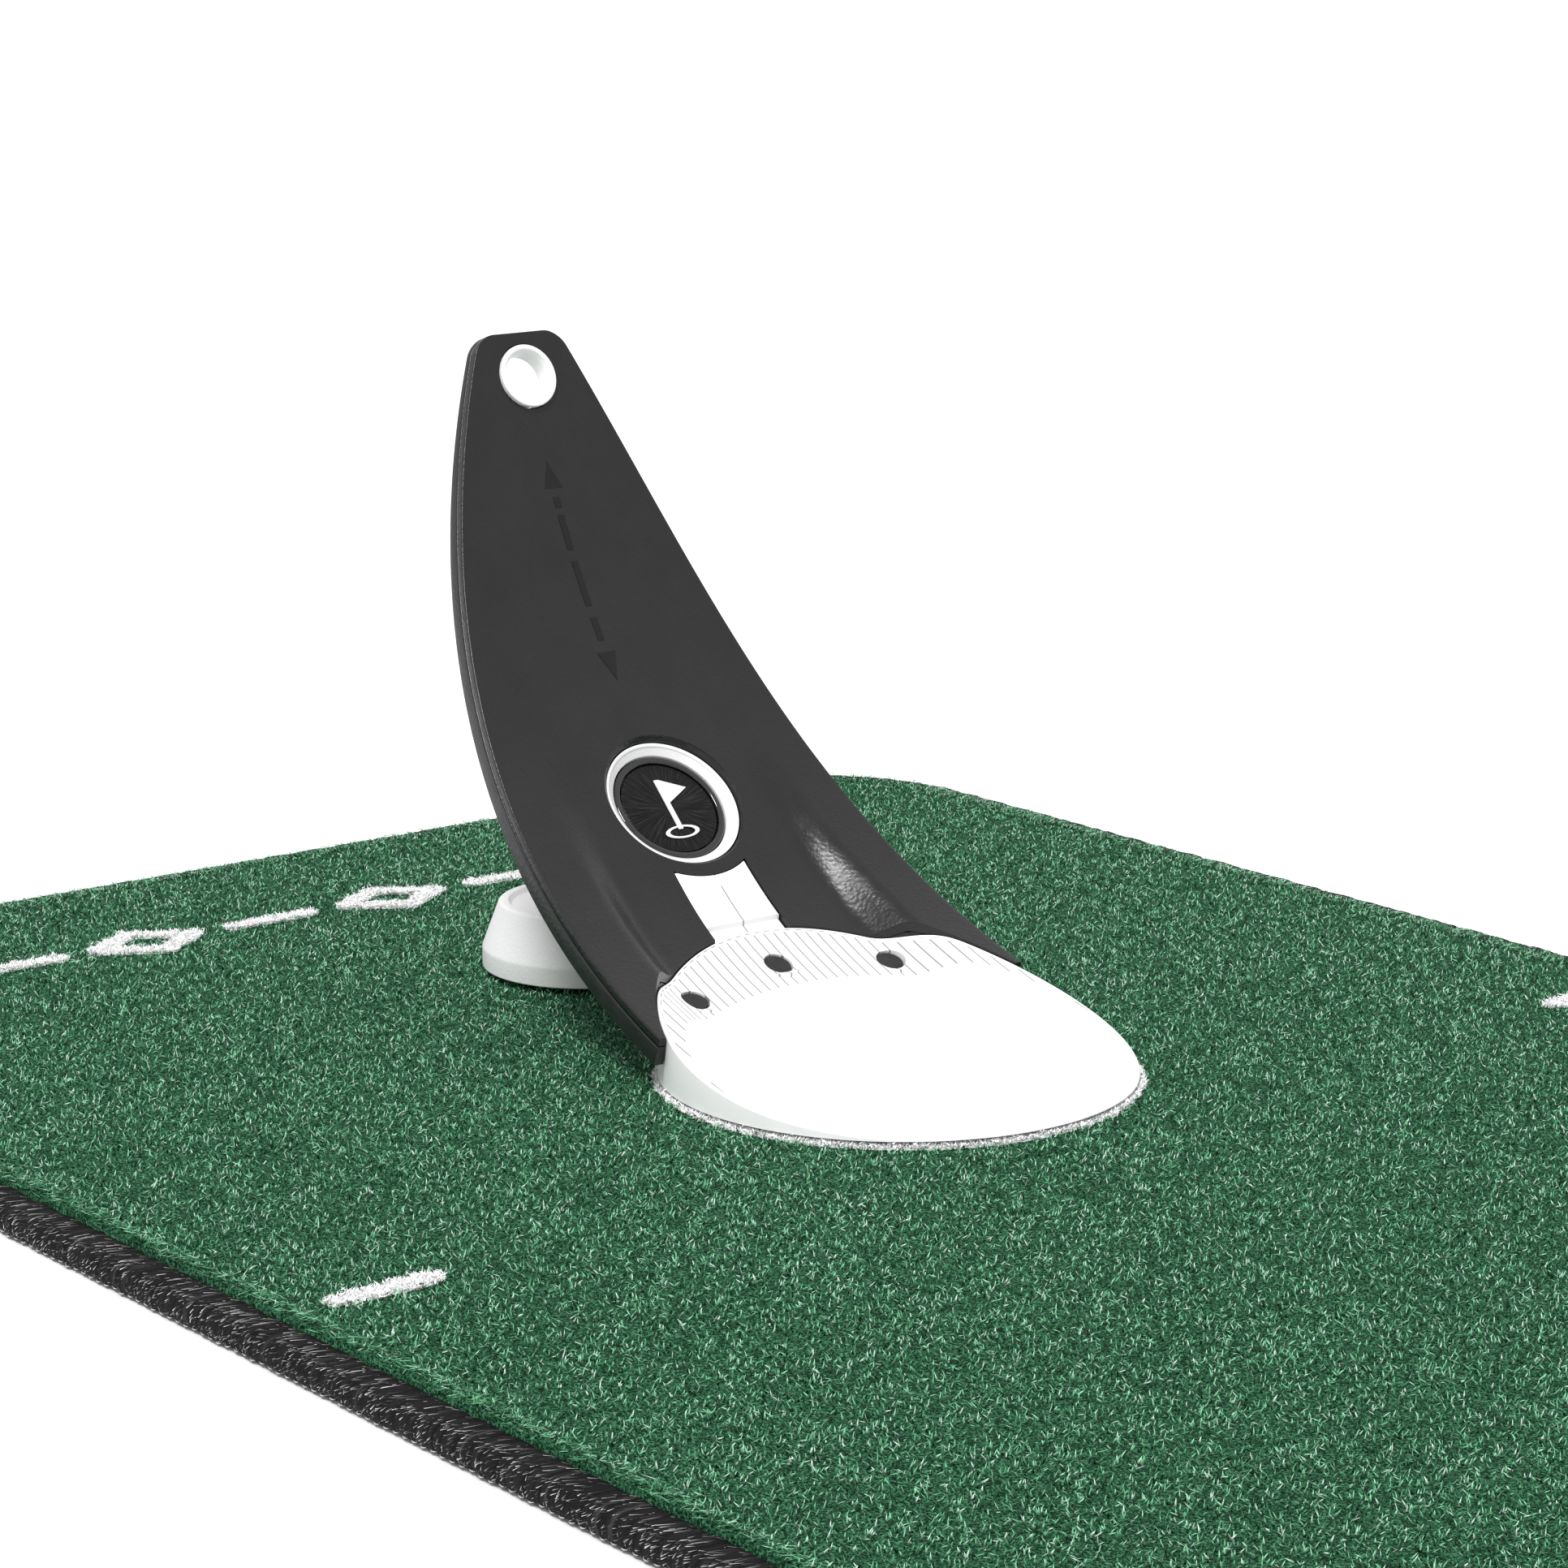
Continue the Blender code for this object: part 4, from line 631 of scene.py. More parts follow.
def turned_mesh(outline, place, fillet=0.0003, segments=96, steps=4):
    """P(k, a) = place @ (r_k cos a, r_k sin a, h_k) over the eased outline and a full turn a."""
    profile = filleted(outline, fillet, steps)
    a = 2 * math.pi * np.arange(segments) / segments
    r, h = profile[:, :1], profile[:, 1:]
    points = placed(np.stack([r * np.cos(a), r * np.sin(a), h + 0 * a], 2), place)
    on_axis = profile[0, 0] == 0.0 and profile[-1, 0] == 0.0
    return points.reshape(-1, 3), grid(len(profile), segments, not on_axis, True)


def turned(name, outline, place, material, fillet=0.0003, segments=96, steps=4, sharp=35.0):
    """One object from turned_mesh."""
    points, faces = turned_mesh(outline, place, fillet, segments, steps)
    return piece(name, points, faces, material, sharp=sharp)


def plain_rod(name, radius, low, high, place, segments=96):
    """A cylinder along the Z axis of a matrix, for cutting or joining."""
    outline = ((0.0, low), (radius, low, 0.0), (radius, high, 0.0), (0.0, high))
    return turned(name, outline, place, cutter_finish, 0.0, segments)


def sealed(front, back):
    """The closed skin of a slab from its front and back points, both (rows, columns, 3)."""
    rows, columns = front.shape[:2]
    ring = np.concatenate([np.arange(columns), columns - 1 + columns * np.arange(1, rows),
                           rows * columns - 2 - np.arange(columns - 1), columns * np.arange(rows - 2, 0, -1)])
    layer, on = rows * columns, np.roll(ring, -1)
    faces = np.concatenate([grid(rows, columns), grid(rows, columns, first=layer)[:, ::-1],
                            np.stack([ring, on, on + layer, ring + layer], 1)])
    return np.concatenate([front.reshape(-1, 3), back.reshape(-1, 3)]), faces


def ends_closed(made):
    """Fills every open ring of a mesh with one face, and turns all faces outwards."""
    work = bmesh.new()
    work.from_mesh(made.data)
    bmesh.ops.holes_fill(work, edges=[e for e in work.edges if e.is_boundary], sides=0)
    bmesh.ops.recalc_face_normals(work, faces=work.faces)
    work.to_mesh(made.data)
    work.free()
    return made


def carved(target, tools, sharp=35.0):
    """Cuts or joins tools, given as (operation, object), for good, and takes them away."""
    for operation, tool in tools:
        modifier = target.modifiers.new(tool.name, "BOOLEAN")
        modifier.object, modifier.operation, modifier.solver = tool, operation, "EXACT"
    bpy.context.view_layer.update()
    made = bpy.data.meshes.new_from_object(target.evaluated_get(bpy.context.evaluated_depsgraph_get()))
    target.modifiers.clear()
    material = target.data.materials[0]
    target.data = made
    made.materials.clear()
    made.materials.append(material)
    made.polygons.foreach_set("material_index", np.zeros(len(made.polygons), np.int32))
    made.shade_smooth()
    made.set_sharp_from_angle(angle=math.radians(sharp))
    for _, tool in tools:
        bpy.data.objects.remove(tool, do_unlink=True)
    return target


def from_place(material, place):
    """Object coordinates measured in a matrix's own frame."""
    inverse = place.inverted()
    return wire(material, "ShaderNodeMapping", {"Vector": object_coords(material),
                "Location": inverse.to_translation(), "Rotation": inverse.to_euler()}).outputs[0]


def sums(material, operation, *values):
    """A maths node over values or sockets."""
    return wire(material, "ShaderNodeMath", dict(enumerate(values)), operation=operation).outputs[0]


cutter_finish, _ = plain_finish("cutter")


def edge_at(u):
    """The ramp's side edge, a cubic Bezier of (x, half-width, z), and its normal in the x-z plane."""
    u = np.asarray(u, float)[..., None]
    p = RAMP_EDGE
    spot = (1 - u)**3 * p[0] + 3 * u * (1 - u)**2 * p[1] + 3 * u * u * (1 - u) * p[2] + u**3 * p[3]
    slope = (1 - u)**2 * (p[1] - p[0]) + 2 * u * (1 - u) * (p[2] - p[1]) + u * u * (p[3] - p[2])
    steep = np.hypot(slope[..., 0], slope[..., 2])[..., None]
    return spot, np.stack([-slope[..., 2], slope[..., 0]], -1) / steep


def half_width(u):
    """w(u) less TOP_CORNER * (1 - sqrt(1 - (1 - s / TOP_CORNER)^2)), s being the way left to the top."""
    spot, top = edge_at(u)[0], RAMP_EDGE[3]
    left = np.clip(1 - np.hypot(spot[..., 0] - top[0], spot[..., 2] - top[2]) / TOP_CORNER, 0, 1)
    return spot[..., 1] - TOP_CORNER * (1 - np.sqrt(1 - left**2))


def on_ramp(u, y, depth):
    """E(u) - n(u) * (depth + 5.9 mm * floor(|y| / w) * fade(x)): the channel is sunk between its banks."""
    u, y, depth = np.broadcast_arrays(np.asarray(u, float), np.asarray(y, float), np.asarray(depth, float))
    spot, normal = edge_at(u)
    floor_share = 1 - smooth((np.abs(y) / half_width(u) - 0.55) / 0.20)
    sunk = depth + CHANNEL_DEPTH * floor_share * (1 - smooth((spot[..., 0] - 0.045) / 0.047))
    made = np.stack([spot[..., 0] - normal[..., 0] * sunk, y, spot[..., 2] - normal[..., 1] * sunk], -1)
    return made + np.array(cup)


def ramp_slab(name, front, back, material, edge_round=0.00035, columns=72, back_columns=36):
    """A slab between two depths under the ramp's face, with every edge eased by edge_round."""
    rise = 0.168
    top_turn = np.linspace(0, math.pi / 2, 18)
    main = np.linspace(0, 1 - TOP_CORNER / rise, 140)
    near_top = 1 - TOP_CORNER * (1 - np.sin(top_turn[1:-1])) / rise
    last = 1 - edge_round * (1 - np.sin(np.linspace(0, math.pi / 2, 6)[:-1])) / rise
    u = np.unique(np.concatenate([main, near_top[near_top < last[0]], last, [1.0]]))
    left = np.clip(1 - (1 - u) * rise / edge_round, 0, 1)
    inset = 0.9 * edge_round * (1 - np.sqrt(1 - left**2))
    ease = (edge_round - inset)[:, None]
    wide = (half_width(u) - inset)[:, None]
    high = (front(u) + inset)[:, None]
    low = (back(u) - inset)[:, None]
    t = np.linspace(0, math.pi / 2, 6)[None, 1:-1]
    across, under = np.linspace(-1, 1, columns)[None], np.linspace(1, -1, back_columns)[None]
    y = np.concatenate([across * (wide - ease), wide - ease + ease * np.sin(t), wide + 0 * t[:, :1],
                        wide + 0 * t[:, :1], wide - ease + ease * np.cos(t), under * (wide - ease),
                        -(wide - ease) - ease * np.sin(t), -wide + 0 * t[:, :1],
                        -wide + 0 * t[:, :1], -(wide - ease) - ease * np.cos(t)], 1)
    depth = np.concatenate([high + 0 * across, high + ease - ease * np.cos(t), high + ease,
                            low - ease, low - ease + ease * np.sin(t), low + 0 * under,
                            low - ease + ease * np.cos(t), low - ease,
                            high + ease, high + ease - ease * np.sin(t)], 1)
    points = on_ramp(u[:, None], y, depth)
    rows, count = points.shape[:2]
    return ends_closed(piece(name, points.reshape(-1, 3), grid(rows, count, wrap_columns=True), material))


def u_at_x(x):
    """Where along the ramp its edge passes x."""
    u = np.linspace(0, 1, 4001)
    return np.interp(x, edge_at(u)[0][:, 0], u)


# ---------------------------------------------------------------------------------------------
# Finishes of the ramp: black plastic with a leather grain, gloss black, white plastic with a
# satin or spark-eroded face, turned steel, moulded rubber and nylon.
# ---------------------------------------------------------------------------------------------
def grained_black(name, tone=0.012, rough=0.28, grain=0.00008):
    """Moulded black plastic: pebbles about 1 mm across, finer dimples in them, and uneven polish."""
    material, _ = plain_finish(name, Specular_IOR_Level=0.45)
    cells = {"Vector": object_coords(material), "Scale": 1150.0, "Randomness": 1.0}
    pebbles = wire(material, "ShaderNodeTexVoronoi", cells, feature="SMOOTH_F1").outputs["Distance"]
    clouded(material, "Base Color", 60.0, 0.85 * tone, 1.15 * tone, 4.0)
    clouded(material, "Roughness", 240.0, rough - 0.05, rough + 0.06, 4.0)
    under = bumped(material, noise(material, 2600.0, 3.0), 0.5 * grain, 0.6)
    feed(material, "Normal", bumped(material, pebbles, grain, 0.8, under))
    return material


def moulded_white(name, tone=0.86, rough=0.38, grain=0.00003, scale=1800.0):
    """White plastic: even tone with a faint cloud, and the grain of its mould."""
    material, _ = plain_finish(name, Specular_IOR_Level=0.5)
    clouded(material, "Base Color", 45.0, 0.98 * tone, 1.01 * tone)
    clouded(material, "Roughness", 400.0, rough - 0.04, rough + 0.05)
    feed(material, "Normal", bumped(material, noise(material, scale, 4.0), grain, 0.8))
    return material


def from_axis(material, place):
    """The x, y and z of a matrix's own frame, and the distance sqrt(x^2 + y^2) from its axis."""
    x, y, z = wire(material, "ShaderNodeSeparateXYZ", {"Vector": from_place(material, place)}).outputs
    squares = sums(material, "MULTIPLY", x, x), sums(material, "MULTIPLY", y, y)
    return x, y, z, sums(material, "SQRT", sums(material, "ADD", *squares))


def turned_metal(name, place, tone=0.56, rough=0.27):
    """Steel with tool lines round an axis: grey follows a noise of the distance from it."""
    material, _ = plain_finish(name, Metallic=1.0)
    _, _, z, away = from_axis(material, place)
    drawn_out = sums(material, "MULTIPLY", z, 0.3)
    rings = wire(material, "ShaderNodeCombineXYZ", {"X": away, "Y": drawn_out}).outputs[0]
    lines = noise(material, 9000.0, 2.0, rings)
    feed(material, "Base Color", ramp_of(material, lines, (0.3, 0.85 * tone), (0.7, 1.1 * tone)))
    clouded(material, "Roughness", 500.0, rough - 0.05, rough + 0.08)
    feed(material, "Normal", bumped(material, lines, 0.00002, 0.6))
    return material


ramp_black = grained_black("grained_ramp_black")
shell_black = grained_black("grained_shell_black", 0.012, 0.30, 0.00006)
foot_white = moulded_white("spark_eroded_white", 0.84, 0.50, 0.00012, 1500.0)
satin_white = moulded_white("satin_white", 0.86, 0.34, 0.00003, 900.0)
nylon = moulded_white("washer_nylon", 0.72, 0.45, 0.00004, 1400.0)
steel = turned_metal("turned_steel", TARGET)
moulded_rubber, _ = plain_finish("moulded_rubber", Roughness=0.78)
clouded(moulded_rubber, "Base Color", 300.0, 0.012, 0.024)
feed(moulded_rubber, "Normal", bumped(moulded_rubber, noise(moulded_rubber, 1600.0, 4.0), 0.0001, 0.7))

# ---------------------------------------------------------------------------------------------
# Ramp skin: one black moulding whose channel guides the ball up to the target. It has room for
# the lip disc, a slot for the tongue, a bevelled pocket for the target and the eye at its top.
# ---------------------------------------------------------------------------------------------
TONGUE_LOW, TONGUE_TOP, TONGUE_END = 0.0106, 0.0100, 0.0214
TONGUE_START_U = u_at_x(LIP_RADIUS - 0.0065)
TONGUE_END_U = u_at_x(TARGET_X - 0.37 * TONGUE_END)
TONGUE_TOP_U = u_at_x(TARGET_X - 0.6 * TONGUE_END)


def tongue_strip(name, front, back, spare, material, columns=41, groove=0.0):
    """A strip of the channel between two depths, with a fine groove up its middle if one is wanted."""
    u = np.linspace(TONGUE_START_U, TONGUE_END_U, 70)[:, None]
    way_up = TONGUE_TOP_U - TONGUE_START_U
    wide = TONGUE_LOW + (TONGUE_TOP - TONGUE_LOW) * (u - TONGUE_START_U) / way_up + spare
    share = np.sort(np.concatenate([np.linspace(-1, 1, columns), (-0.022, -0.012, 0.012, 0.022)]))[None]
    y = share * wide
    ease = 0.00035
    eased = ease * (1 - np.sqrt(1 - np.clip(1 - (wide - np.abs(y)) / ease, 0, 1)**2)) if groove else 0 * y
    in_line = (np.abs(share) < 0.02) & (u < TONGUE_START_U + 0.90 * way_up)
    high = front(u) + eased + np.where(in_line, groove, 0.0)
    points, faces = sealed(on_ramp(u, y, high), on_ramp(u, y, back + 0 * y))
    made = piece(name, points, faces, material)
    round_end = plain_rod("tongue_end", TONGUE_END - spare, -0.02, 0.02, TARGET, 160)
    return carved(made, [("DIFFERENCE", round_end)])


POCKET, MOUTH, BEVEL = 0.0173, 0.0181, 0.0010
GROMMET_RIM, GROMMET_BARREL = 0.0077, 0.0069


def pocket_tool(name):
    """The turned cutter of the target's pocket: a mouth, a bevel and a straight well."""
    outline = ((0.0, 0.004), (MOUTH + 0.00012, 0.004, 0.0), (MOUTH + 0.00012, 0.0, 0.0001),
               (POCKET, -BEVEL, 0.0003), (POCKET, -0.02, 0.0), (0.0, -0.02))
    return turned(name, outline, TARGET, cutter_finish, 0.0, 128)


def lip_room(name):
    """A cylinder one gap wider than the lip disc."""
    return plain_rod(name, LIP_RADIUS + GAP, -0.02, 0.08, BASE, 256)


skin = ramp_slab("ramp_skin_face", lambda u: 0 * u, lambda u: SKIN + 0 * u, ramp_black)
tongue_slot = tongue_strip("tongue_slot", lambda u: -0.004 + 0 * u, SKIN + 0.004, GAP, cutter_finish)
carved(skin, [("DIFFERENCE", lip_room("lip_room")), ("DIFFERENCE", tongue_slot),
              ("DIFFERENCE", pocket_tool("pocket")),
              ("DIFFERENCE", plain_rod("eye", GROMMET_RIM + GAP, -0.02, 0.02, GROMMET))])
fitted(skin, "trainer", "black_plastic", "ramp_skin")

# Relief marks: plain arrowheads and bars on the face, moulded with the skin and left 0.1 mm proud
# of its grain in polished black.
MARK_TOP_Z, MARK_LOW_Z, MARK_HALF, ARROW_HIGH, BAR_HALF = 0.1205, 0.0720, 0.0026, 0.006, 0.0009
BARS = ((0.0805, 0.0855), (0.0880, 0.0980), (0.1005, 0.1085), (0.1100, 0.1125))
polished = grained_black("polished_black", 0.003, 0.12, 0.00001)


def relief(name, z_low, z_high, half_at):
    """A thin plate on the face from z_low to z_high; half_at(share) is its half-width up it."""
    share = np.linspace(0, 1, 14)[:, None]
    all_u = np.linspace(0, 1, 2001)
    u = np.interp(z_low + (z_high - z_low) * share, edge_at(all_u)[0][:, 2], all_u)
    y = np.linspace(-1, 1, 15)[None] * np.maximum(half_at(share), 0.00005)
    points, faces = sealed(on_ramp(u, y, -0.0001), on_ramp(u, y, 0.0004))
    fitted(piece(name, points, faces, polished), "trainer", "black_plastic")


relief("relief_arrow_top", MARK_TOP_Z - ARROW_HIGH, MARK_TOP_Z, lambda s: MARK_HALF * (1 - s))
relief("relief_arrow_low", MARK_LOW_Z, MARK_LOW_Z + ARROW_HIGH, lambda s: MARK_HALF * s)
for number, (z_low, z_high) in enumerate(BARS, 1):
    relief("relief_bar_%d" % number, z_low, z_high, lambda s: BAR_HALF + 0 * s)

# ---------------------------------------------------------------------------------------------
# Back shell: a black moulding behind the skin, 4.7 mm thick at the toe and 1.7 mm at the top.
# The toe bracket, the target cup and the grommet are all fixed to it.
# ---------------------------------------------------------------------------------------------


def shell_back(u):
    """How far the back of the shell lies under the ramp's face: 4 mm + 3 mm * (1 - u^3)."""
    return 0.0040 + 0.0030 * (1 - u**3)


back_shell = ramp_slab("back_shell", lambda u: SKIN + GAP + 0 * u, shell_back, shell_black, 0.00045, 40, 40)
carved(back_shell, [("DIFFERENCE", lip_room("lip_room")), ("DIFFERENCE", pocket_tool("pocket")),
                    ("DIFFERENCE", plain_rod("eye", GROMMET_BARREL + GAP, -0.02, 0.02, GROMMET))])
fitted(back_shell, "trainer", "black_plastic", "ramp_back_shell")
carry_over("toe_bracket", shell_black)

# ---------------------------------------------------------------------------------------------
# Lip disc: one white moulding with a thin front edge, banks at its sides and the tongue behind.
# Fine grip lines run back to its rear arc. Three rubber plugs cover the screws to the bracket.
# ---------------------------------------------------------------------------------------------
LIP_EDGE, LIP_WALL, LIP_PLATE = 0.0007, 0.0022, 0.0025
LIP_FLOOR_CURVE, LIP_BANK_CURVE = 16.826, 2.2632
PLUGS = ((0.0430, 0.0), (0.0371, 0.0283), (0.0371, -0.0283))
PLUG_R, PLUG_THICK, BOSS_R, BOSS_BOTTOM = 0.0032, 0.0022, 0.0048, 0.00637
LIP_SCREW_R, LIP_SCREW_HEAD = 0.0014, 0.0016
LINE_PITCH, LINE_WIDTH, LINE_LENGTH, LINE_INSET = 0.00275, 0.00036, 0.0165, 0.0012


def lip_height(x, y):
    """h = 0.7 mm + (1 - b) * 16.826 d^3 + b * 2.2632 d^2, d from the front edge, b its bank share."""
    ahead = x + LIP_RADIUS
    bank = smooth((np.abs(y) - 0.028) / 0.016)
    return LIP_EDGE + (1 - bank) * LIP_FLOOR_CURVE * ahead**3 + bank * LIP_BANK_CURVE * ahead**2


def lip_points(segments=224, rim=0.00045):
    """Rings over the top to an eased rim, down the wall, across the foot, up inside and to the middle."""
    a = 2 * math.pi * np.arange(segments) / segments
    c, s = np.cos(a)[None], np.sin(a)[None]
    edge_top = lip_height(LIP_RADIUS * c, LIP_RADIUS * s)
    ease = np.minimum(rim, 0.45 * (edge_top - GAP))
    top = np.linspace(0, 1, 46)[:, None]**0.9 * (LIP_RADIUS - ease)
    turn = np.linspace(0, math.pi / 2, 6)[1:, None]
    rim_r = LIP_RADIUS - ease + ease * np.sin(turn)
    rim_z = edge_top - ease + ease * np.cos(turn) + 0 * rim_r
    inner = LIP_RADIUS - LIP_WALL
    ceiling = np.linspace(1, 0, 24)[:, None] * inner + 0 * c
    under = np.maximum(lip_height(ceiling * c, ceiling * s) - LIP_PLATE, GAP)
    flat = 0 * c
    radius = np.concatenate([top + flat, rim_r, LIP_RADIUS + flat, LIP_RADIUS - 0.0003 + flat, inner + flat,
                             ceiling])
    height = np.concatenate([lip_height(top * c, top * s), rim_z, GAP + 0.0001 + flat, GAP + flat, GAP + flat,
                             under])
    local = np.stack([radius * c, radius * s, height], 2)
    return (local + np.array(cup)).reshape(-1, 3), grid(len(radius), segments, False, True)


white_lip = moulded_white("lip_white", 0.93, 0.32, 0.00003, 700.0)
lip_x, lip_y, _, from_middle = from_axis(white_lip, BASE)


def lip_sum(operation, *values):
    """A maths node of the lip's own material."""
    return sums(white_lip, operation, *values)


# A grip line is a shallow groove, sunk by a bump and coloured dark grey as painted shade in it. It lies where
# y is near a whole pitch and the rear arc, sqrt(rear^2 - y^2), is less than a run away. The run shortens to
# the sides.
# A broken arc joins the lines, and one line runs up the tongue.
rear = LIP_RADIUS - LINE_INSET
rear_x = lip_sum("SQRT", lip_sum("SUBTRACT", rear * rear, lip_sum("MULTIPLY", lip_y, lip_y)))
from_rear = lip_sum("SUBTRACT", rear_x, lip_x)
across = lip_sum("PINGPONG", lip_y, 0.5 * LINE_PITCH)
on_line = lip_sum("LESS_THAN", across, 0.5 * LINE_WIDTH)
across_share = lip_sum("DIVIDE", lip_y, LIP_RADIUS)
squared = lip_sum("MULTIPLY", across_share, across_share)
run = lip_sum("MULTIPLY_ADD", squared, -0.75 * LINE_LENGTH, LINE_LENGTH)
on_top = lip_sum("LESS_THAN", from_middle, LIP_RADIUS - 0.0005)
on_run = lip_sum("MULTIPLY", lip_sum("GREATER_THAN", from_rear, 0.0), lip_sum("LESS_THAN", from_rear, run))
arc_off = lip_sum("ABSOLUTE", lip_sum("ADD", from_rear, 0.0006))
on_arc = lip_sum("MULTIPLY", lip_sum("LESS_THAN", arc_off, 0.00012),
                 lip_sum("GREATER_THAN", across, 0.25 * LINE_PITCH))
on_disc = lip_sum("MULTIPLY", on_top, lip_sum("MAXIMUM", lip_sum("MULTIPLY", on_line, on_run), on_arc))
on_tongue = lip_sum("MULTIPLY", lip_sum("GREATER_THAN", lip_x, LIP_RADIUS + 0.0010),
                    lip_sum("LESS_THAN", lip_x, TARGET_X - 0.0172))
middle_line = lip_sum("MULTIPLY", on_tongue, lip_sum("LESS_THAN", lip_sum("ABSOLUTE", lip_y), 0.00018))
lines = lip_sum("MAXIMUM", on_disc, middle_line)
lip_shader = white_lip.node_tree.nodes["Principled BSDF"]
plain_tone, plain_normal = (lip_shader.inputs[key].links[0].from_socket for key in ("Base Color", "Normal"))
# Painted shade: the grooves take a dark grey colour.
painted_groove_shade = wire(white_lip, "ShaderNodeMix", {"Factor": lines, 6: plain_tone, 7: (0.30, 0.30, 0.31, 1.0)},
             data_type="RGBA")
feed(white_lip, "Base Color", painted_groove_shade.outputs[2])
feed(white_lip, "Normal", bumped(white_lip, lip_sum("SUBTRACT", 1.0, lines), 0.0002, 0.7, plain_normal))


def plug_place(x, y):
    """A matrix on the lip's top at (x, y), square to its channel."""
    slope = math.atan(3 * LIP_FLOOR_CURVE * (x + LIP_RADIUS)**2)
    return (BASE @ Matrix.Translation((x, y, float(lip_height(x, 0.0)))) @ Matrix.Rotation(-slope, 4, "Y")
            @ Matrix.Rotation(math.radians(4.0), 4, "Z"))


points, faces = lip_points()
lip = piece("lip_disc", points, faces, white_lip)
tools = []
for x, y in PLUGS:
    boss = plain_rod("boss", BOSS_R, BOSS_BOTTOM, float(lip_height(x, 0.0)) - 0.5 * LIP_PLATE,
                     BASE @ Matrix.Translation((x, y, 0)), 40)
    tools.append(("UNION", boss))
well_floor = -PLUG_THICK - LIP_SCREW_HEAD - 2 * GAP
for x, y in PLUGS:
    tools.append(("DIFFERENCE", plain_rod("well", PLUG_R + GAP, well_floor, 0.004, plug_place(x, y), 56)))
    tools.append(("DIFFERENCE", plain_rod("way", LIP_SCREW_R + GAP, -0.02, 0.004, plug_place(x, y), 32)))


def tongue_front(u):
    """Flush with the skin behind the disc, and sunk 1.1 mm under its top inside it."""
    return np.where(edge_at(u)[0][..., 0] < LIP_RADIUS - 0.0002, 0.0011, 0.0)


tools.append(("UNION", tongue_strip("tongue", tongue_front, SKIN, 0.0, white_lip, groove=0.00018)))
notch_points = np.array([(x, y, z) for x in (LIP_RADIUS - LIP_WALL - 0.008, LIP_RADIUS + 0.004)
                         for y in (-0.0118, 0.0118) for z in (-0.004, BOSS_BOTTOM)]) + np.array(cup)
notch_faces = [(0, 1, 3, 2), (4, 6, 7, 5), (0, 4, 5, 1), (2, 3, 7, 6), (0, 2, 6, 4), (1, 5, 7, 3)]
tools.append(("DIFFERENCE", piece("notch", notch_points, notch_faces, cutter_finish)))
carved(lip, tools)
fitted(lip, "trainer", "white_lip", "lip_plate")
plug_outline = ((0.0, -PLUG_THICK), (PLUG_R, -PLUG_THICK), (PLUG_R, -0.0001, 0.0006),
                (0.0014, -0.0001, 0.0006), (0.0, -0.00035))
for number, (x, y) in enumerate(PLUGS, 1):
    plug = turned("rubber_plug_%d" % number, plug_outline, plug_place(x, y), moulded_rubber, 0.0003, 56)
    fitted(plug, "trainer", "plug_rubber", "lip_plug_%d" % number)
    carry_over("lip_screw_%d" % number, steel)

# ---------------------------------------------------------------------------------------------
# Target: a white cup clamped to the back shell, its stepped funnel showing as a ring. In it the
# sliding disc carries a gloss bezel round a spun badge with a raised flag, on a spring.
# ---------------------------------------------------------------------------------------------
CUP_R, CUP_IN, CUP_BACK, CUP_FLOOR = 0.0170, 0.01456, 0.0124, 0.0108
STEM, DISC_R, DISC_DROP = 0.0029, 0.01426, 0.0031
SEAT, PLATE = 0.0046, 0.0018
FLANGE_R, FLANGE_FRONT, FLANGE_BACK = 0.0238, 0.0076, 0.0094
cup_outline = ((CUP_R, -0.0012, 0.00025), (CUP_R, -FLANGE_FRONT), (FLANGE_R, -FLANGE_FRONT),
               (FLANGE_R, -FLANGE_BACK), (CUP_R, -FLANGE_BACK), (CUP_R, -CUP_BACK), (STEM + GAP, -CUP_BACK),
               (STEM + GAP, -CUP_FLOOR), (CUP_IN, -CUP_FLOOR), (CUP_IN, -0.0030, 0.0002),
               (CUP_R - 0.00085, -0.00175, 0.00008), (CUP_R - 0.00085, -0.00155, 0.00008),
               (CUP_R - 0.00045, -0.0013, 0.00008))
ring_cup = turned("target_ring_cup", cup_outline, TARGET, satin_white, 0.0003, 144)
fitted(ring_cup, "trainer", "white_plastic", "target_cup")

clip_at, stem_end = CUP_BACK + GAP + DISC_DROP, CUP_BACK + GAP + DISC_DROP + 0.0008 + 2 * GAP
plunger_outline = ((0.0, -SEAT), (DISC_R, -SEAT), (DISC_R, -SEAT - PLATE), (STEM, -SEAT - PLATE),
                   (STEM, -clip_at, 0.0001), (STEM - 0.0006, -clip_at, 0.0001),
                   (STEM - 0.0006, -clip_at - 0.0011, 0.0001), (STEM, -clip_at - 0.0011, 0.0001),
                   (STEM, -stem_end - GAP), (0.0, -stem_end - GAP))
plunger = turned("sliding_plunger", plunger_outline, TARGET, shell_black, 0.0003, 96)
fitted(plunger, "target_disc", "disc_plastic", "target_plunger")

gloss, _ = plain_finish("gloss_bezel_black", Specular_IOR_Level=0.6, Coat_Weight=0.6, Coat_Roughness=0.04)
clouded(gloss, "Base Color", 80.0, 0.006, 0.010)
clouded(gloss, "Roughness", 700.0, 0.07, 0.13)
BEZEL_IN = DISC_R - 0.0016
bezel_outline = ((DISC_R, -SEAT + GAP), (DISC_R, -DISC_DROP, 0.0007), (BEZEL_IN, -DISC_DROP, 0.0007),
                 (BEZEL_IN, -SEAT + GAP))
bezel = turned("gloss_bezel", bezel_outline, TARGET, gloss, 0.0002, 144, 7)
fitted(bezel, "target_disc", "gloss_bezel", "target_bezel")

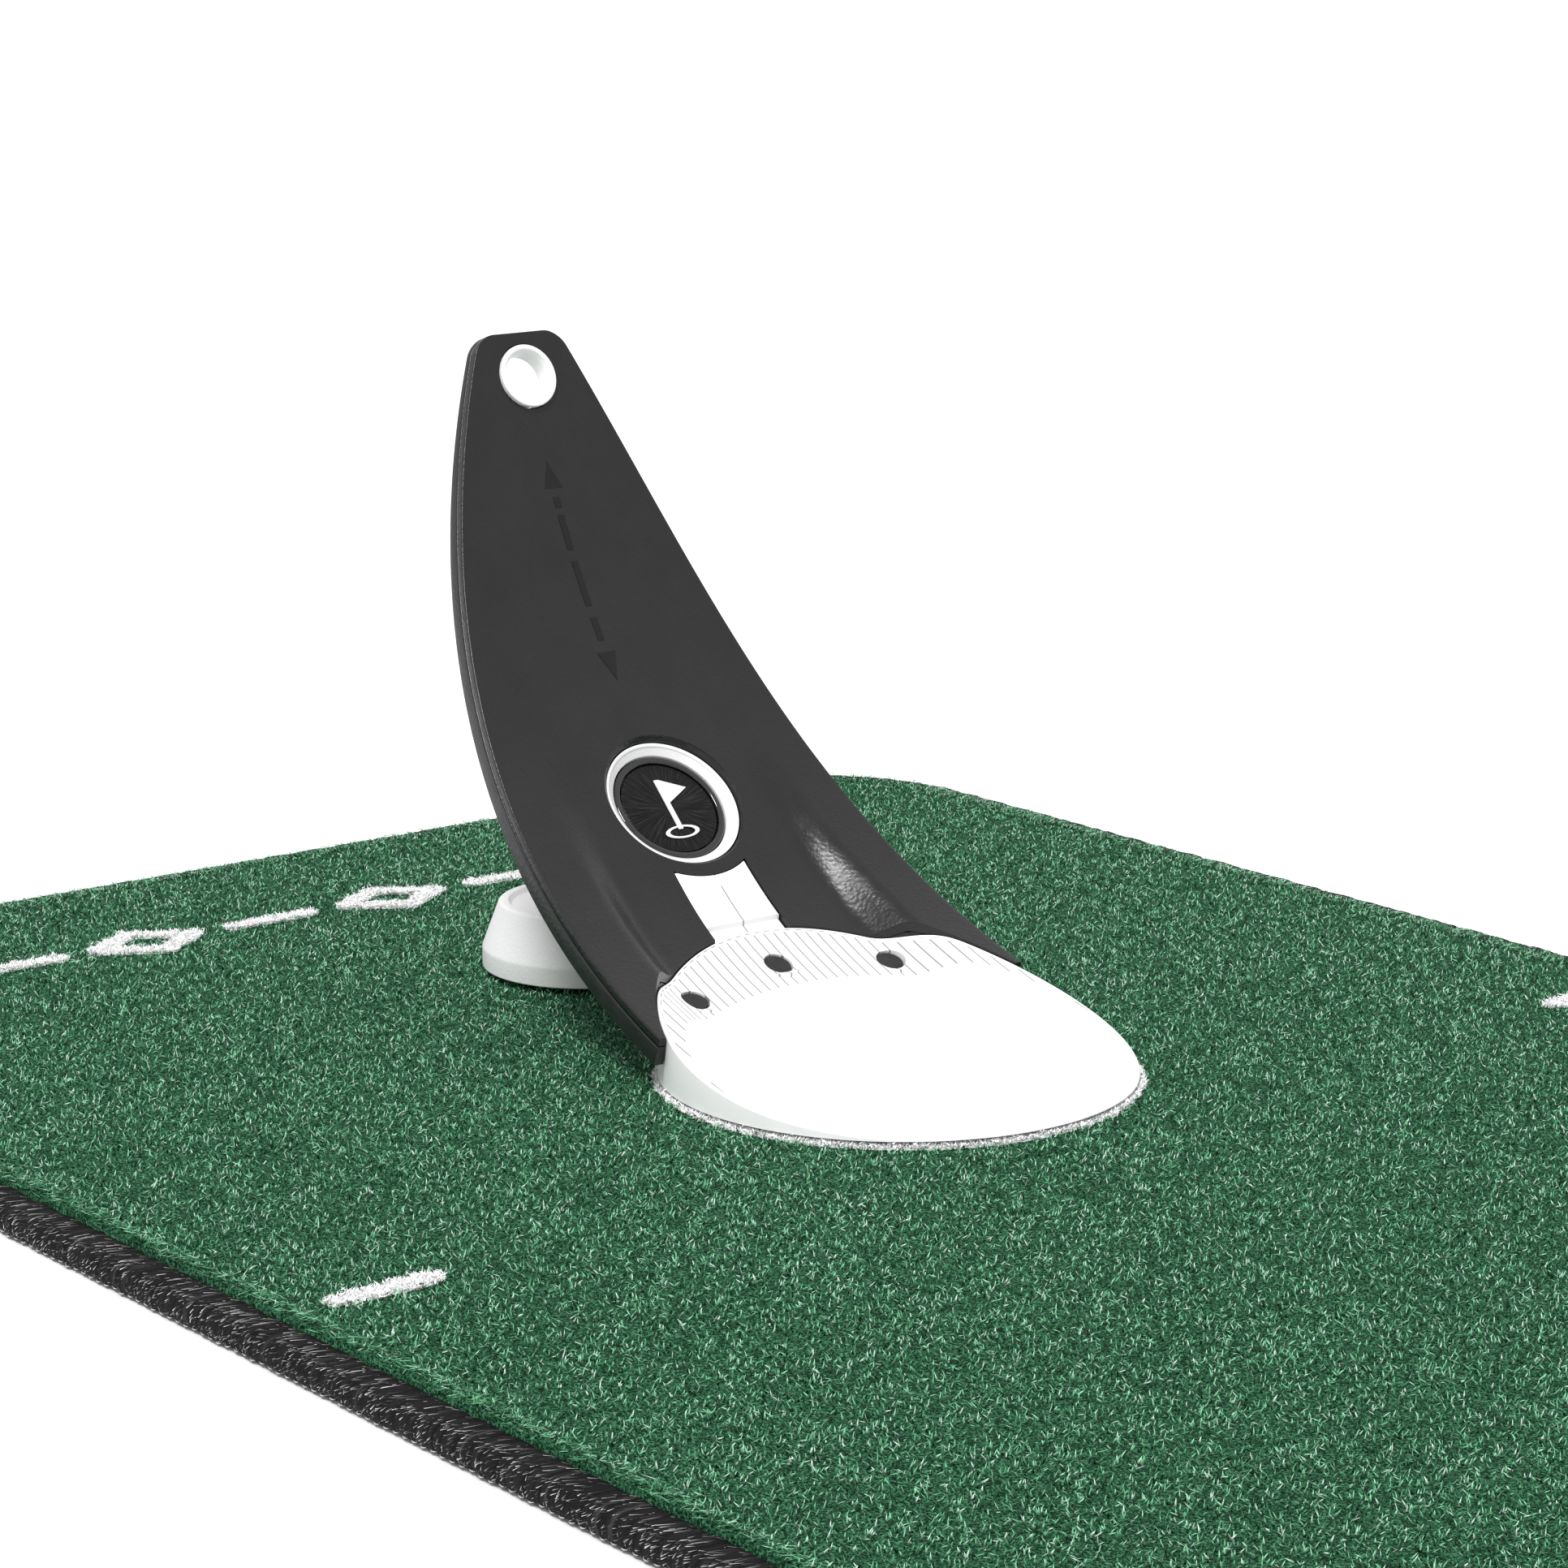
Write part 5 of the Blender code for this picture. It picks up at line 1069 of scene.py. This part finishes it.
spun, _ = plain_finish("spun_badge", Metallic=0.85)
badge_x, badge_y, _, away = from_axis(spun, TARGET)
angle = sums(spun, "ARCTAN2", badge_y, badge_x)
spokes = wire(spun, "ShaderNodeCombineXYZ", {"X": sums(spun, "MULTIPLY", angle, 26.0),
                                             "Y": sums(spun, "MULTIPLY", away, 90.0)}).outputs[0]
# Painted reflection, in part: radial rays of noise in the metal's colour stand in for the streaks of light on
# a spun face. The fine circles are its tool lines.
painted_ray_sheen = noise(spun, 1.0, 5.0, spokes, 0.7)
circles = noise(spun, 5200.0, 2.0, wire(spun, "ShaderNodeCombineXYZ", {"X": away}).outputs[0])
sheen_and_tool_lines = sums(spun, "ADD", sums(spun, "MULTIPLY", painted_ray_sheen, 0.75), sums(spun, "MULTIPLY", circles, 0.25))
feed(spun, "Base Color", ramp_of(spun, sheen_and_tool_lines, (0.36, 0.008), (0.52, 0.022), (0.68, 0.10)))
feed(spun, "Roughness", ramp_of(spun, circles, (0.3, 0.26), (0.7, 0.38)))
feed(spun, "Normal", bumped(spun, sheen_and_tool_lines, 0.00005, 0.6))
badge_top = SEAT - GAP - 0.0007
badge_outline = ((0.0, -SEAT + GAP), (BEZEL_IN - GAP, -SEAT + GAP), (BEZEL_IN - GAP, -badge_top, 0.0002),
                 (0.0, -badge_top))
badge = turned("spun_badge", badge_outline, TARGET, spun, 0.0002, 96)
fitted(badge, "target_disc", "brushed_badge", "target_badge")

icon_low, icon_high = -badge_top + 0.0002, -badge_top + 0.0005
pole = 0.00062
flag_outline = np.array(((-0.0062, pole), (-0.0062, -pole), (0.0012, -pole), (0.0046, -0.0072),
                         (0.0078, -pole), (0.0078, pole)))
flag_middle = (0.0012, -0.001)
flag_ring = [np.column_stack([(flag_outline - flag_middle) * grow + flag_middle, np.full(6, z)])
             for grow, z in ((1.0, icon_low), (1.0, icon_high - 0.0001), (0.975, icon_high))]
points = placed(np.concatenate(flag_ring), TARGET)
icon = ends_closed(piece("flag_icon", points, grid(3, 6, wrap_columns=True), satin_white))
flat_ring = ((0.0048, icon_low), (0.0048, icon_high), (0.0036, icon_high), (0.0036, icon_low))
squeezed = TARGET @ Matrix.Translation((-0.0070, 0, 0)) @ Matrix.Diagonal((0.36, 1, 1, 1))
carved(icon, [("UNION", turned("icon_ring", flat_ring, squeezed, satin_white, 0.0001, 72, 3))])
fitted(icon, "target_disc", "icon_white", "badge_icon")

CLIP_R = 0.0048
clip_outline = ((STEM - 0.0003, -clip_at - 0.00015), (STEM - 0.0003, -clip_at - 0.0008),
                (CLIP_R, -clip_at - 0.0008), (CLIP_R, -clip_at - 0.00015))
clip_ring = turned("stem_clip_ring", clip_outline, TARGET, steel, 0.0001, 64)
fitted(clip_ring, "target_disc", "fastener_steel", "stem_clip")


def coil(name, radius, wire_radius, front, back, turns, material, steps=40, sides=12):
    """P(t, a) = c(t) + w(t) * (outward cos a, sin a): a wire round a helix, its ends drawn to a point."""
    t = np.concatenate([[0, 0, 0], np.linspace(0, 1, turns * steps + 1), [1, 1, 1]])
    w = np.concatenate([[0, 0.6, 0.9], np.ones(turns * steps + 1), [0.9, 0.6, 0]]) * wire_radius
    end = np.concatenate([[-1, -0.8, -0.4], np.zeros(turns * steps + 1), [0.4, 0.8, 1]]) * wire_radius
    turn = 2 * math.pi * turns * t + end / radius
    a = 2 * math.pi * np.arange(sides) / sides
    reach = radius + w[:, None] * np.cos(a)
    deep = -(front + (back - front) * t)[:, None] + w[:, None] * np.sin(a)
    local = np.stack([reach * np.cos(turn)[:, None], reach * np.sin(turn)[:, None], deep], 2)
    return piece(name, placed(local, TARGET).reshape(-1, 3), grid(len(t), sides, False, True), material)


spring = coil("coil_spring", 0.0068, 0.0005, 0.0072, 0.0100, 3, steel)
fitted(spring, "trainer", "fastener_steel", "plunger_spring")


# ---------------------------------------------------------------------------------------------
# Small screws: pan heads with a cross recess, holding the toe bracket, the cup's flange and the
# hinge plate. Each is turned and then has its cross sunk by a pair of crossed wedges.
# ---------------------------------------------------------------------------------------------
def cross_screw(name, place, length, cad_node, head=0.0018, high=0.0012, shank=0.0010):
    """A domed head over a ridged shank, with a tapered cross recess."""
    ridges = np.arange(0.0006, length - 0.0004, 0.0005)
    thread = [(shank - 0.00012 * (k % 2), -z, 0.0) for k, z in enumerate(ridges)]
    dome = [(shank, 0.0, 0.0001), (head, 0.0, 0.0002), (head, 0.55 * high, 0.0004),
            (0.6 * head, 0.97 * high, 0.0005), (0.0, high)]
    outline = [(0.0, -length), (0.6 * shank, -length)] + thread[::-1] + dome
    made = turned(name, outline, place, steel, 0.0001, 36, 3)
    wedge_faces = [(0, 3, 2, 1), (4, 5, 6, 7), (0, 1, 5, 4), (1, 2, 6, 5), (2, 3, 7, 6), (3, 0, 4, 7)]
    cuts = []
    for turn in (0.0, 90.0):
        turned_place = place @ Matrix.Rotation(math.radians(turn), 4, "Z")
        corners = [(sx * (0.56 if z > 0 else 0.30) * head, sy * 0.00022, high + z) for z in (-0.0007, 0.0004)
                   for sx, sy in ((-1, -1), (1, -1), (1, 1), (-1, 1))]
        wedge = piece("cross", placed(np.array(corners), turned_place), wedge_faces, cutter_finish)
        cuts.append(("DIFFERENCE", wedge))
    carved(made, cuts)
    return fitted(made, "trainer", "fastener_steel", cad_node)


def behind(radius, turn, depth):
    """A matrix behind the target on a circle, its Z axis pointing out of the back."""
    spot = (radius * math.cos(turn), radius * math.sin(turn), -depth)
    return TARGET @ Matrix.Translation(spot) @ TURNED_OVER


FLANGE_SCREW_CIRCLE, PLATE_SCREW_CIRCLE, HINGE_PLATE, TOE_PLATE = 0.0206, 0.0128, 0.0020, 0.0030
for number in range(3):
    place = behind(FLANGE_SCREW_CIRCLE, 2 * math.pi * number / 3, FLANGE_BACK + GAP)
    cross_screw("flange_screw_%d" % (number + 1), place, 0.0018 + GAP + 0.0038, "cup_screw_%d" % (number + 1))
for number in range(2):
    place = behind(PLATE_SCREW_CIRCLE, math.pi * number, CUP_BACK + HINGE_PLATE + 2 * GAP)
    cross_screw("plate_screw_%d" % (number + 1), place, HINGE_PLATE + 2 * GAP + 0.0008,
                "hinge_screw_%d" % (number + 1))
tail_u = float(u_at_x(LIP_RADIUS + 0.0026))
tail_normal = edge_at(tail_u)[1]
tail_tilt = math.atan2(-tail_normal[0], tail_normal[1])
for number, side in enumerate((-1, 1), 1):
    tail = on_ramp(tail_u, 0.0, shell_back(tail_u) + TOE_PLATE + 2 * GAP)
    spot = Matrix.Translation((tail[0], side * 0.0065, tail[2]))
    place = spot @ Matrix.Rotation(-tail_tilt, 4, "Y") @ TURNED_OVER
    cross_screw("tail_screw_%d" % number, place, TOE_PLATE + 2 * GAP + 0.0040, "bracket_screw_%d" % number)

# ---------------------------------------------------------------------------------------------
# Hang grommet: a white bush pressed through the eye at the top of the ramp, for a hook. Its
# mouth flares, and its flange lies a hair proud of the skin.
# ---------------------------------------------------------------------------------------------
GROMMET_BORE, GROMMET_MOUTH, GROMMET_SEAT, GROMMET_DEEP, PROUD = 0.0057, 0.0065, 0.0012, 0.0052, 0.0001
bush_outline = ((GROMMET_RIM, PROUD, 0.0004), (GROMMET_RIM, -GROMMET_SEAT), (GROMMET_BARREL, -GROMMET_SEAT),
                (GROMMET_BARREL, -GROMMET_DEEP), (GROMMET_BORE, -GROMMET_DEEP, 0.0004),
                (GROMMET_BORE, -GROMMET_SEAT, 0.0006), (GROMMET_MOUTH, PROUD, 0.0003))
bush = turned("hang_grommet", bush_outline, GROMMET, satin_white, 0.0002, 128, 6)
fitted(bush, "trainer", "white_plastic", "top_grommet")

# ---------------------------------------------------------------------------------------------
# Hinge: a white bracket screwed behind the cup, a steel pin through its ears and a nylon washer
# on each side of the leg's knuckle, which rubs on them and so holds any angle.
# ---------------------------------------------------------------------------------------------
HINGE_BEHIND, KNUCKLE_HALF, WASHER, EAR = 0.0225, 0.0066, 0.0008, 0.0034
PIN_R, PIN_HEAD_R, PIN_HEAD = 0.0015, 0.0028, 0.0010
hinge_spot = TARGET @ Vector((0, 0, -HINGE_BEHIND))
HINGE = Matrix.Translation(hinge_spot) @ Matrix.Rotation(math.radians(-90), 4, "X")
pin_steel = turned_metal("pin_steel", HINGE)
carry_over("hinge_bracket", satin_white)
head_at = KNUCKLE_HALF + WASHER + 2 * GAP + EAR + GAP
half_pin = ((PIN_R, head_at, 0.0), (PIN_HEAD_R, head_at, 0.0002), (PIN_HEAD_R, head_at + PIN_HEAD, 0.0005),
            (0.0, head_at + PIN_HEAD))
pin_outline = [(corner[0], -corner[1], *corner[2:]) for corner in half_pin[::-1]] + list(half_pin)
pin = turned("steel_pin", pin_outline, HINGE, pin_steel, 0.0002, 64)
fitted(pin, "trainer", "fastener_steel", "hinge_pin")
for number, side in enumerate((-1, 1), 1):
    near, far = side * (KNUCKLE_HALF + GAP), side * (KNUCKLE_HALF + GAP + WASHER)
    washer_outline = ((PIN_R + GAP, near), (0.0041, near), (0.0041, far), (PIN_R + GAP, far))
    washer = turned("nylon_washer_%d" % number, washer_outline, HINGE, nylon, 0.0002, 64)
    fitted(washer, "trainer", "washer_nylon", "friction_washer_%d" % number)

# ---------------------------------------------------------------------------------------------
# Leg: a white strut from the knuckle to a round foot. The foot is a cone on a short band with a
# dished top. Inside it sit a steel weight and a ribbed rubber pad, clamped by one screw.
# ---------------------------------------------------------------------------------------------
FOOT = BASE @ Matrix.Translation((0.1180, 0, 0))
KNUCKLE_R, STRUT_R = 0.0045, 0.0042
FOOT_R, FOOT_TOP, FOOT_BAND, FOOT_SCREW_HOLE = 0.0250, 0.0163, 0.0050, 0.0017
DISH = FOOT_TOP - 0.0012
BOSS_LOW, BOSS_HIGH = DISH + GAP, 0.0038
knuckle = ((0.0, -KNUCKLE_HALF), (KNUCKLE_R, -KNUCKLE_HALF), (KNUCKLE_R, KNUCKLE_HALF), (0.0, KNUCKLE_HALF))
strut = turned("strut", knuckle, HINGE, foot_white, 0.0003, 72)
knuckle_at = HINGE.to_translation()
bar_way = FOOT @ Vector((-0.0035, 0, BOSS_LOW + 0.0008)) - knuckle_at
bar_place = Matrix.Translation(knuckle_at) @ bar_way.to_track_quat("Z", "Y").to_matrix().to_4x4()
bar = plain_rod("bar", STRUT_R, 0.0, bar_way.length, bar_place, 64)
carved(bar, [("DIFFERENCE", plain_rod("below", 0.022, BOSS_LOW - 0.02, BOSS_LOW, FOOT, 32))])
boss_outline = ((0.0, BOSS_LOW), (0.0110, BOSS_LOW), (0.0110, BOSS_LOW + 0.0014, 0.0005),
                (0.0088, BOSS_LOW + BOSS_HIGH, 0.0008), (0.0, BOSS_LOW + BOSS_HIGH))
boss = turned("boss", boss_outline, FOOT, cutter_finish, 0.0003, 96)
carved(strut, [("UNION", bar), ("UNION", boss),
               ("DIFFERENCE", plain_rod("bore", PIN_R + GAP, -0.02, 0.02, HINGE, 48)),
               ("DIFFERENCE", plain_rod("thread", FOOT_SCREW_HOLE, 0.0, BOSS_LOW + 0.0028, FOOT, 32))])
fitted(strut, "leg", "white_plastic", "leg_strut")

PAD_ROOM, PAD_TOP, CAVITY_R, CAVITY_TOP = 0.0226, 0.0022, 0.0198, 0.0101
foot_outline = ((FOOT_SCREW_HOLE, DISH, 0.0), (0.0178, DISH, 0.0003), (0.0186, FOOT_TOP, 0.0003),
                (0.0208, FOOT_TOP, 0.0009), (FOOT_R, FOOT_BAND, 0.0005), (FOOT_R, GAP, 0.0004),
                (PAD_ROOM, GAP), (PAD_ROOM, PAD_TOP), (CAVITY_R, PAD_TOP), (CAVITY_R, CAVITY_TOP),
                (FOOT_SCREW_HOLE, CAVITY_TOP, 0.0))
foot = turned("foot_cone", foot_outline, FOOT, foot_white, 0.0004, 160, 5)
fitted(foot, "leg", "white_plastic", "foot_shell")

WEIGHT_R, WEIGHT_LOW, WEIGHT_HIGH, SUNK_R, SUNK_TO = 0.0195, 0.0025, 0.0080, 0.0039, 0.0050
weight_outline = ((SUNK_R, WEIGHT_LOW), (WEIGHT_R, WEIGHT_LOW), (WEIGHT_R, WEIGHT_HIGH),
                  (FOOT_SCREW_HOLE, WEIGHT_HIGH, 0.0), (FOOT_SCREW_HOLE, SUNK_TO, 0.0),
                  (SUNK_R, SUNK_TO, 0.0))
foot_steel = turned_metal("foot_steel", FOOT, 0.5, 0.34)
weight = turned("steel_weight", weight_outline, FOOT, foot_steel, 0.0004, 96)
fitted(weight, "leg", "weight_steel", "foot_weight")

PAD_R, PAD_HIGH, RIDGE_PITCH, RIDGE_DEEP = 0.0223, 0.0019, 0.0012, 0.0004
ridge_radii = np.arange(0.003, 0.0215, RIDGE_PITCH)
ridges = [(float(r), GAP + (RIDGE_DEEP if k % 2 else 0.0), 0.00015) for k, r in enumerate(ridge_radii)]
pad_outline = [(0.0, GAP)] + ridges + [(PAD_R, GAP), (PAD_R, PAD_HIGH), (0.0, PAD_HIGH)]
pad = turned("ribbed_pad", pad_outline, FOOT, moulded_rubber, 0.0003, 96, 2)
fitted(pad, "leg", "foot_rubber", "foot_pad")
carry_over("foot_screw", foot_steel)
